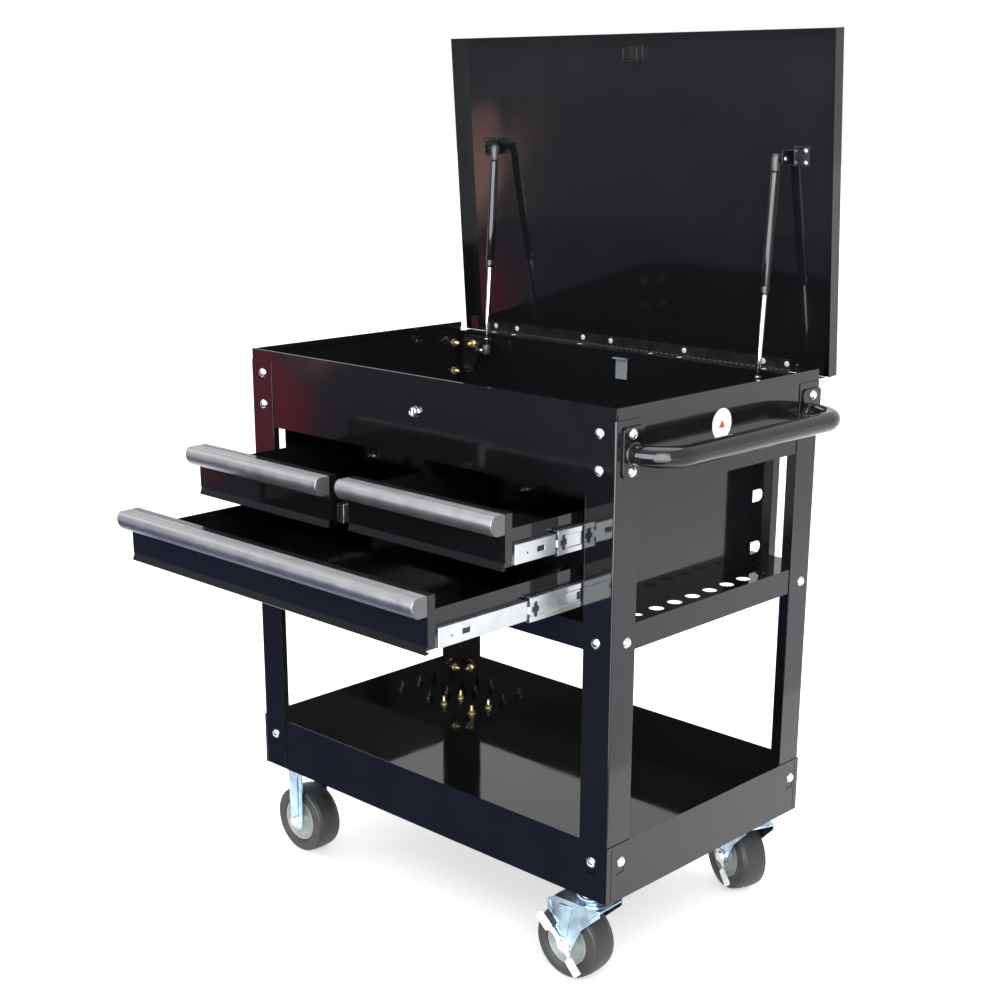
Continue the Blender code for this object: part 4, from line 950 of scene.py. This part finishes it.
# Takes the lid's own frame (Y back along the lid, Z from its underside outwards) to its open place.
LID_TURN = Matrix.Translation(HINGE) @ Matrix.Rotation(-LID_ANGLE, 4, "X")
LID_INSIDE = 0.021
HINGE_ENDS = (-0.36, 0.345)
LEAF_REACH = 0.019
KNUCKLE_PITCH = 0.01175
KNUCKLE_COUNT = 60
KNUCKLE_GAP = 0.0006
PIN_RADIUS = 0.001
PIN_STAND = 0.001
BOX_SCREWS = (-0.337, -0.284, -0.115, 0.054, 0.119, 0.3)
LID_SCREWS = (-0.341, -0.285, -0.116, -0.049, 0.121, 0.29, 0.338)
BRACKET_WEB_X = 0.3335
STRUT_LEAN = STRUT_TOP - STRUT_LOW
STRUT_LENGTH = STRUT_LEAN.length
TUBE_START = STRUT_LENGTH - 0.218
TUBE_RADIUS = 0.00775
# Strut profiles are points (radius, along the strut from its lower ball).
ROD_PROFILE = ((0, 0.01), (0.0042, 0.01), (0.0042, TUBE_START + 0.031), (0, TUBE_START + 0.031))
COLLAR_PROFILE = ((0, 0.0115), (0.0058, 0.0115), (0.0058, 0.0235), (0.0051, 0.0243), (0, 0.0243))
TUBE_PROFILE = (
    (0.0048, TUBE_START + 0.03), (0.0048, TUBE_START + 0.0002), (0.006, TUBE_START),
    (0.0071, TUBE_START + 0.001), (TUBE_RADIUS, TUBE_START + 0.0032), (TUBE_RADIUS, TUBE_START + 0.012),
    (0.0073, TUBE_START + 0.013), (0.0073, TUBE_START + 0.014), (TUBE_RADIUS, TUBE_START + 0.015),
    (TUBE_RADIUS, STRUT_LENGTH - 0.0235), (0.007, STRUT_LENGTH - 0.0212), (0.005, STRUT_LENGTH - 0.02),
    (0.005, STRUT_LENGTH - 0.015), (0.002, STRUT_LENGTH - 0.015), (0.002, TUBE_START + 0.03),
)
LOW_SOCKET_PROFILE = ((0, -0.0078), (0.0048, -0.0076), (0.007, -0.0058), (0.0078, -0.003),
                      (0.0078, 0.0062), (0.007, 0.0108), (0.0062, 0.0122), (0, 0.0122))
TOP_SOCKET_PROFILE = ((0, 0.0082), (0.0046, 0.008), (0.0068, 0.0062), (0.0076, 0.0032),
                      (0.0078, -0.006), (0.0072, -0.0168), (0.0064, -0.02), (0, -0.02))
STUD_PROFILE = ((0, 0.004), (0.0046, 0.0042), (0.0046, 0.0095), (0.0062, 0.0097), (0.0062, 0.0118),
                (0.0038, 0.012), (0.0038, 0.0167), (0, 0.0167))


def make_hinge():
    """Piano hinge: two leaves with sixty short knuckles, its pin and its screws."""
    left, right = HINGE_ENDS
    box_leaf = bmesh.new()
    lid_leaf = bmesh.new()
    still = Matrix.Translation(HINGE)
    add_box(box_leaf, (left, -LEAF_REACH, -0.0015), (right, -0.0022, -0.0005), still)
    add_box(lid_leaf, (left, -LEAF_REACH, 0.0005), (right, -0.0022, 0.0015), LID_TURN)
    pin = ((0, left - PIN_STAND), (PIN_RADIUS, left - PIN_STAND), (PIN_RADIUS, right + PIN_STAND),
           (0, right + PIN_STAND))
    add_turned(box_leaf, pin, 0, 10, turn=still)
    for n in range(KNUCKLE_COUNT):
        start = left + n * KNUCKLE_PITCH + KNUCKLE_GAP
        end = start + KNUCKLE_PITCH - 2 * KNUCKLE_GAP
        ring = ((0.00115, start), (0.0016, start), (0.0019, start + 0.0004), (0.0019, end - 0.0004),
                (0.0016, end), (0.00115, end))
        mesh, turn, level = (box_leaf, still, -0.001) if n % 2 == 0 else (lid_leaf, LID_TURN, 0.001)
        add_turned(mesh, ring, 0, 14, turn=turn, closed=True)
        add_box(mesh, (start, -0.0024, level - 0.0004), (end, -0.0012, level + 0.0004), turn)
    piece("hinge_box_leaf", box_leaf, HINGE_DARK, "frame", ("hinge_leaf_box",))
    piece("hinge_lid_leaf", lid_leaf, HINGE_DARK, "lid", ("hinge_leaf_lid",))
    screws = bmesh.new()
    for x in BOX_SCREWS:
        add_bolt(screws, 2, 1, (x, 0.27, 0.94), HINGE_SCREW_PROFILE)
    piece("hinge_box_screws", screws, SCREW_ZINC, "frame")
    screws = bmesh.new()
    for x in LID_SCREWS:
        turn = LID_TURN @ outward(2, -1, (x, -0.0105, 0.0004))
        add_turned(screws, HINGE_SCREW_PROFILE, 2, 24, turn=turn)
    piece("hinge_lid_screws", screws, SCREW_ZINC, "lid")


def make_lid_strike():
    """Small open box on the lid's underside at its front edge, which meets the lock."""
    base = LID_INSIDE - 0.001
    rim = LID_INSIDE - 0.015
    strike = bmesh.new()
    add_box(strike, (-0.013, -0.5235, LID_INSIDE - 0.0014), (0.023, -0.497, LID_INSIDE), LID_TURN)
    for x in (-0.011, 0.0198):
        add_box(strike, (x, -0.5215, rim), (x + 0.0012, -0.4985, base), LID_TURN)
    add_box(strike, (-0.011, -0.501, rim), (0.021, -0.4998, base), LID_TURN)
    piece("lid_strike", strike, SHEET_BLACK, "lid", rounding=0.0003)


def make_strut_brackets():
    """The bracket of each strut's upper end, with its screws, laid out in the lid's own frame."""
    to_lid = LID_TURN.inverted()
    base = LID_INSIDE
    brackets = bmesh.new()
    screws = bmesh.new()
    for sign in (-1, 1):
        pivot = to_lid @ Vector((sign * STRUT_X, STRUT_TOP.y, STRUT_TOP.z))
        near = pivot.y + 0.0125
        far = pivot.y - 0.0145
        web = sign * BRACKET_WEB_X
        wall = web + sign * 0.0145
        outline = [(near, base - 0.0004), (near, pivot.z - 0.004), (near - 0.006, pivot.z - 0.01),
                   (far + 0.005, pivot.z - 0.01), (far, pivot.z - 0.005), (far, base - 0.0004)]
        add_prism(brackets, outline, 0, web, web + sign * 0.0018, LID_TURN)
        for low, high in (
            ((web, far - 0.004, base - 0.0018), (web + sign * 0.03, near + 0.002, base - 0.0001)),
            ((web, far - 0.0002, pivot.z - 0.004), (wall, far + 0.0014, base - 0.001)),
            ((web + sign * 0.013, far - 0.0002, pivot.z + 0.006), (wall, near, base - 0.001)),
        ):
            add_box(brackets, low, high, LID_TURN)
        for along in (far + 0.004, near - 0.004):
            turn = LID_TURN @ outward(2, -1, (web + sign * 0.0235, along, base - 0.0017))
            add_turned(screws, SCREW_PROFILE, 2, 20, turn=turn)
        turn = LID_TURN @ outward(0, sign, (web + sign * 0.0016, pivot.y, pivot.z))
        add_turned(screws, SCREW_PROFILE, 2, 20, turn=turn)
    piece("strut_lid_brackets", brackets, SHEET_BLACK, "lid", rounding=0.0004)
    piece("strut_bracket_screws", screws, BRIGHT_BOLT, "lid")


def turned_piece(name, profiles, axis, sides, turn, look, body, replaces=(), closed=False):
    """Makes a piece from solids turned about one axis."""
    mesh = bmesh.new()
    for profile in profiles:
        add_turned(mesh, profile, axis, sides, turn=turn, closed=closed)
    piece(name, mesh, look, body, replaces)


def make_struts():
    """Gas struts: chrome rod with its collar, gloss black tube, and moulded sockets on ball studs."""
    for sign, side in ((-1, "left"), (1, "right")):
        low = Matrix.Translation(STRUT_LOW + Vector((sign * STRUT_X, 0, 0))) \
            @ Matrix.Rotation(-math.atan2(STRUT_LEAN.y, STRUT_LEAN.z), 4, "X")
        top = low @ Matrix.Translation((0, 0, STRUT_LENGTH))
        stud = [(radius, sign * along) for radius, along in STUD_PROFILE]
        rod = f"strut_rod_{side}"
        tube = f"strut_tube_{side}"
        for name, profiles, axis, sides, turn, look, body, slot in (
            ("rod_bright", (ROD_PROFILE, COLLAR_PROFILE), 2, 28, low, CHROME, rod, "chrome"),
            ("low_socket", (LOW_SOCKET_PROFILE,), 2, 28, low, SOCKET_GREY, rod, "strut_black"),
            ("low_stud", (stud,), 0, 20, low, ZINC, rod, "zinc_plate"),
            ("tube_black", (TUBE_PROFILE,), 2, 32, low, STRUT_BLACK, tube, "strut_black"),
            ("top_socket", (TOP_SOCKET_PROFILE,), 2, 28, top, SOCKET_GREY, tube, "strut_black"),
            ("top_stud", (stud,), 0, 20, top, SHEET_BLACK, tube, "zinc_plate"),
        ):
            replaces = {"rod_bright": (rod,), "tube_black": (tube,)}.get(name, ())
            turned_piece(f"strut_{name}_{side}", profiles, axis, sides, turn, look, body, replaces,
                         closed=name == "tube_black")


# ---- casters
WHEEL_RADIUS = 0.0635
TRAIL = 0.038
PLATE_TOP = 0.1717
PLATE_THICKNESS = 0.0035
PLATE_HALF_X = 0.051
PLATE_HALF_Y = 0.035
CROWN_TOP = 0.1445
LEG_IN = 0.0285
LEG_OUT = 0.0315
LEG_END_RADIUS = 0.0165
AXLE_RADIUS = 0.0059
AXLE_HEAD = 0.0058
WASHER_RADIUS = 0.0108
WASHER_THICKNESS = 0.0012
RIB_WIDTH = 0.0042
# Brake lever: the angle of each pad about the axle in degrees, and how far out it reaches.
BRAKE_PADS = {136: 0.064, -48: 0.055}
PAD_LENGTH = 0.031
# Each caster: its kingpin, whether it swivels, and its heading.
CASTERS = {
    "front_left": ((-CASTER_X, -CASTER_Y), False, 0.0),
    "rear_left": ((-CASTER_X, CASTER_Y), False, 0.0),
    "front_right": ((CASTER_X, -CASTER_Y), True, math.radians(2.5)),
    "rear_right": ((CASTER_X, CASTER_Y), True, math.radians(-21.5)),
}
# Half profiles (radius, across the wheel), mirrored about its middle plane.
TYRE_HALF = ((0.0402, -0.0215), (0.0406, -0.0238), (0.0418, -0.0245), (0.0432, -0.024), (0.044, -0.0246),
             (0.056, -0.0249), (0.0588, -0.0246), (0.0604, -0.0238), (0.0612, -0.0226), (0.0617, -0.0206),
             (0.0611, -0.02), (0.0619, -0.0192), (0.0626, -0.015), (0.06325, -0.009), (0.0635, -0.0004))
HUB_HALF = ((0.0062, -0.0262), (0.0105, -0.0268), (0.0128, -0.0262), (0.0138, -0.024), (0.0144, -0.02),
            (0.0158, -0.0184), (0.0182, -0.0176), (0.0262, -0.0174), (0.0312, -0.0182), (0.0342, -0.0204),
            (0.0358, -0.0228), (0.0374, -0.0238), (0.039, -0.0236), (0.0395, -0.0222))
RACE_PROFILE = ((0, -0.002), (0.024, -0.0034), (0.0285, -0.0052), (0.031, -0.0092), (0.0318, -0.013),
                (0.031, -0.0172), (0.0288, -0.0205), (0.0262, -0.0222), (0.0258, -0.0268), (0, -0.0268))


def mirrored(half):
    """A closed turned profile from its lower half, mirrored about the middle plane."""
    return list(half) + [(radius, -along) for radius, along in reversed(half)]


def make_wheel(name, centre, heading):
    """Tyre with a crowned grooved tread, and a dished hub with a rolled rim and a bearing cap."""
    turn = Matrix.Translation(centre) @ Matrix.Rotation(heading, 4, "Z")
    wheel = f"wheel_{name}"
    turned_piece(f"tyre_{name}_tread", (mirrored(TYRE_HALF),), 1, 96, turn, RUBBER, wheel,
                 (f"tyre_{name}",), closed=True)
    turned_piece(f"hub_{name}_dished", (mirrored(HUB_HALF),), 1, 72, turn, HUB, wheel,
                 (f"hub_{name}",), closed=True)


def add_axle(mesh, turn, head_at, head_height=AXLE_HEAD):
    """Adds the axle with washers, a hexagon head at -Y and a nut at +Y."""
    end = LEG_OUT + 0.004
    add_turned(mesh, ((0, -head_at), (AXLE_RADIUS, -head_at), (AXLE_RADIUS, end), (0, end)), 1, 20, turn=turn)
    for sign, start, height in ((-1, head_at, head_height), (1, LEG_OUT - 0.0002, AXLE_HEAD)):
        near = sign * start
        far = sign * (start + WASHER_THICKNESS)
        add_turned(mesh, ((0, near), (WASHER_RADIUS, near), (WASHER_RADIUS, far), (0, far)), 1, 28, turn=turn)
        base = start + 0.001
        add_prism(mesh, circle((0, 0), 0.0094, 6), 1, sign * base, sign * (base + height), turn)


def plate_outline(x, y):
    """Outline of a caster's top plate about its kingpin."""
    return rounded_rectangle((x - PLATE_HALF_X, y - PLATE_HALF_Y),
                             (x + PLATE_HALF_X, y + PLATE_HALF_Y), 0.006)


def make_rigid_caster(name, kingpin):
    """Fixed caster: plate, bridge and two straight ribbed legs."""
    turn = Matrix.Translation((*kingpin, WHEEL_RADIUS))
    fork = bmesh.new()
    top = PLATE_TOP - WHEEL_RADIUS
    add_prism(fork, plate_outline(0, 0), 2, top - PLATE_THICKNESS, top, turn)
    add_box(fork, (-0.019, -LEG_OUT, top - 0.0065), (0.019, LEG_OUT, top - 0.003), turn)
    leg = [(-0.019, top - 0.004), (-0.019, top - 0.03), (-LEG_END_RADIUS, 0.006)] \
        + arc((0, 0), LEG_END_RADIUS, 180, 360, 14) \
        + [(LEG_END_RADIUS, 0.006), (0.019, top - 0.03), (0.019, top - 0.004)]
    rib = [(-0.0085, top - 0.006), (-0.0065, 0.012), (0.0065, 0.012), (0.0085, top - 0.006)]
    for sign in (-1, 1):
        add_prism(fork, leg, 1, sign * LEG_IN, sign * LEG_OUT, turn)
        add_prism(fork, rib, 1, sign * (LEG_OUT - 0.0004), sign * (LEG_OUT + 0.0016), turn)
    piece(f"fork_{name}_pressed", fork, FORK_ZINC, "frame", (f"fork_{name}",), rounding=0.0007)
    axle = bmesh.new()
    add_axle(axle, turn, LEG_OUT - 0.0002)
    piece(f"axle_{name}", axle, BRIGHT_BOLT, "frame", rounding=0.0004)


def make_swivel_plate(name, kingpin):
    """Top plate of a swivel caster with its raceway."""
    fixed = bmesh.new()
    add_prism(fixed, plate_outline(*kingpin), 2, PLATE_TOP - PLATE_THICKNESS, PLATE_TOP)
    add_turned(fixed, RACE_PROFILE, 2, 56, (*kingpin, PLATE_TOP))
    piece(f"swivel_plate_{name}_race", fixed, FORK_ZINC, "frame", (f"swivel_plate_{name}",),
          rounding=0.0005)


def make_swivel_fork(name, turn, axle_z):
    """Crown and two V-shaped ribbed legs; the legs lean back to the axle."""
    fork = bmesh.new()
    crown = rounded_rectangle((-0.06, -LEG_OUT), (0.034, LEG_OUT), 0.004)
    add_prism(fork, crown, 2, -PLATE_THICKNESS, 0, turn)
    leg = [(-0.0745, -0.01), (-0.075, -0.018), (-0.069, -0.037)] \
        + arc((-TRAIL, axle_z), LEG_END_RADIUS, 188, 352, 14) \
        + [(-0.003, -0.0445), (0.033, -0.0105), (0.0335, -0.0015), (-0.0595, -0.0015)]
    panel = [(-0.048, -0.0095), (-0.044, axle_z + 0.015), (-0.032, axle_z + 0.015), (-0.02, -0.0095)]
    for sign in (-1, 1):
        add_prism(fork, leg, 1, sign * LEG_IN, sign * (LEG_OUT - 0.0002), turn)
        add_prism(fork, panel, 1, sign * (LEG_OUT - 0.0006), sign * (LEG_OUT + 0.0018), turn)
        for (top_x, top_z), (end_x, end_z) in (((-0.0705, -0.0105), (-0.061, -0.035)),
                                               ((0.0255, -0.008), (-0.006, -0.041))):
            rib = [(top_x, top_z), (top_x + RIB_WIDTH, top_z), (end_x + RIB_WIDTH, end_z), (end_x, end_z)]
            add_prism(fork, rib, 1, sign * (LEG_OUT - 0.0006), sign * (LEG_OUT + 0.001), turn)
    piece(f"fork_{name}_pressed", fork, FORK_ZINC, f"caster_{name}", (f"fork_{name}",),
          rounding=0.0007)


def make_brake_lever(name, hub_turn):
    """Double-ended brake lever: a ring on the axle and two arms with a pad each."""
    lever = bmesh.new()
    ring = ((0.0064, -0.0345), (0.0128, -0.0345), (0.0128, -0.032), (0.0064, -0.032))
    add_turned(lever, ring, 1, 36, turn=hub_turn, closed=True)
    for angle, reach in BRAKE_PADS.items():
        turn = hub_turn @ Matrix.Rotation(-math.radians(angle), 4, "Y")
        start = reach - PAD_LENGTH
        arm = [(0.0112, -0.0359), (start - 0.004, -0.0359), (start, -0.041), (reach, -0.041),
               (reach, -0.0386), (start + 0.001, -0.0386), (start - 0.003, -0.0337), (0.0112, -0.0337)]
        add_prism(lever, arm, 2, -0.0042, 0.0042, turn)
        pad = rounded_rectangle((start, -0.0085), (reach, 0.0085), 0.0022, 3)
        add_prism(lever, pad, 1, -0.0412, -0.0384, turn)
    piece(f"brake_{name}_lever", lever, LEVER_ZINC, f"brake_{name}", (f"brake_lever_{name}",),
          rounding=0.0004)


def make_swivel_caster(name, kingpin, heading):
    """Swivel caster: plate with raceway, ribbed fork, axle and double-ended brake lever."""
    make_swivel_plate(name, kingpin)
    turn = Matrix.Translation((*kingpin, CROWN_TOP)) @ Matrix.Rotation(heading, 4, "Z")
    axle_z = WHEEL_RADIUS - CROWN_TOP
    make_swivel_fork(name, turn, axle_z)
    hub_turn = turn @ Matrix.Translation((-TRAIL, 0, axle_z))
    axle = bmesh.new()
    add_axle(axle, hub_turn, 0.0343, 0.003)
    piece(f"axle_{name}", axle, BRIGHT_BOLT, f"caster_{name}", rounding=0.0004)
    make_brake_lever(name, hub_turn)


def make_casters():
    """All four casters."""
    for name, (kingpin, swivels, heading) in CASTERS.items():
        trail = TRAIL if swivels else 0.0
        centre = (kingpin[0] - trail * math.cos(heading), kingpin[1] - trail * math.sin(heading),
                  WHEEL_RADIUS)
        make_wheel(name, centre, heading)
        if swivels:
            make_swivel_caster(name, kingpin, heading)
        else:
            make_rigid_caster(name, kingpin)


def dress_frame():
    """Every CAD node gets its slot's finish and a fine rounding on its edges."""
    slots = {part["node"]: part["material_slot"] for part in frame["record"]["subparts"]}
    for name, node in frame["nodes"].items():
        node.data.materials.clear()
        node.data.materials.append(FINISHES[slots[name]])
        round_edges(node, 0.0005, 40)


make_camera()
make_surroundings()
make_floor()
make_cards()
dress_frame()
make_posts()
make_frame_fasteners()
make_push_handle()
make_lock()
make_sticker()
make_lock_bar_bracket()
make_strut_gussets()
make_tray_marks()
make_catches()
make_slides()
make_pulls()
make_hinge()
make_lid_strike()
make_strut_brackets()
make_struts()
make_casters()
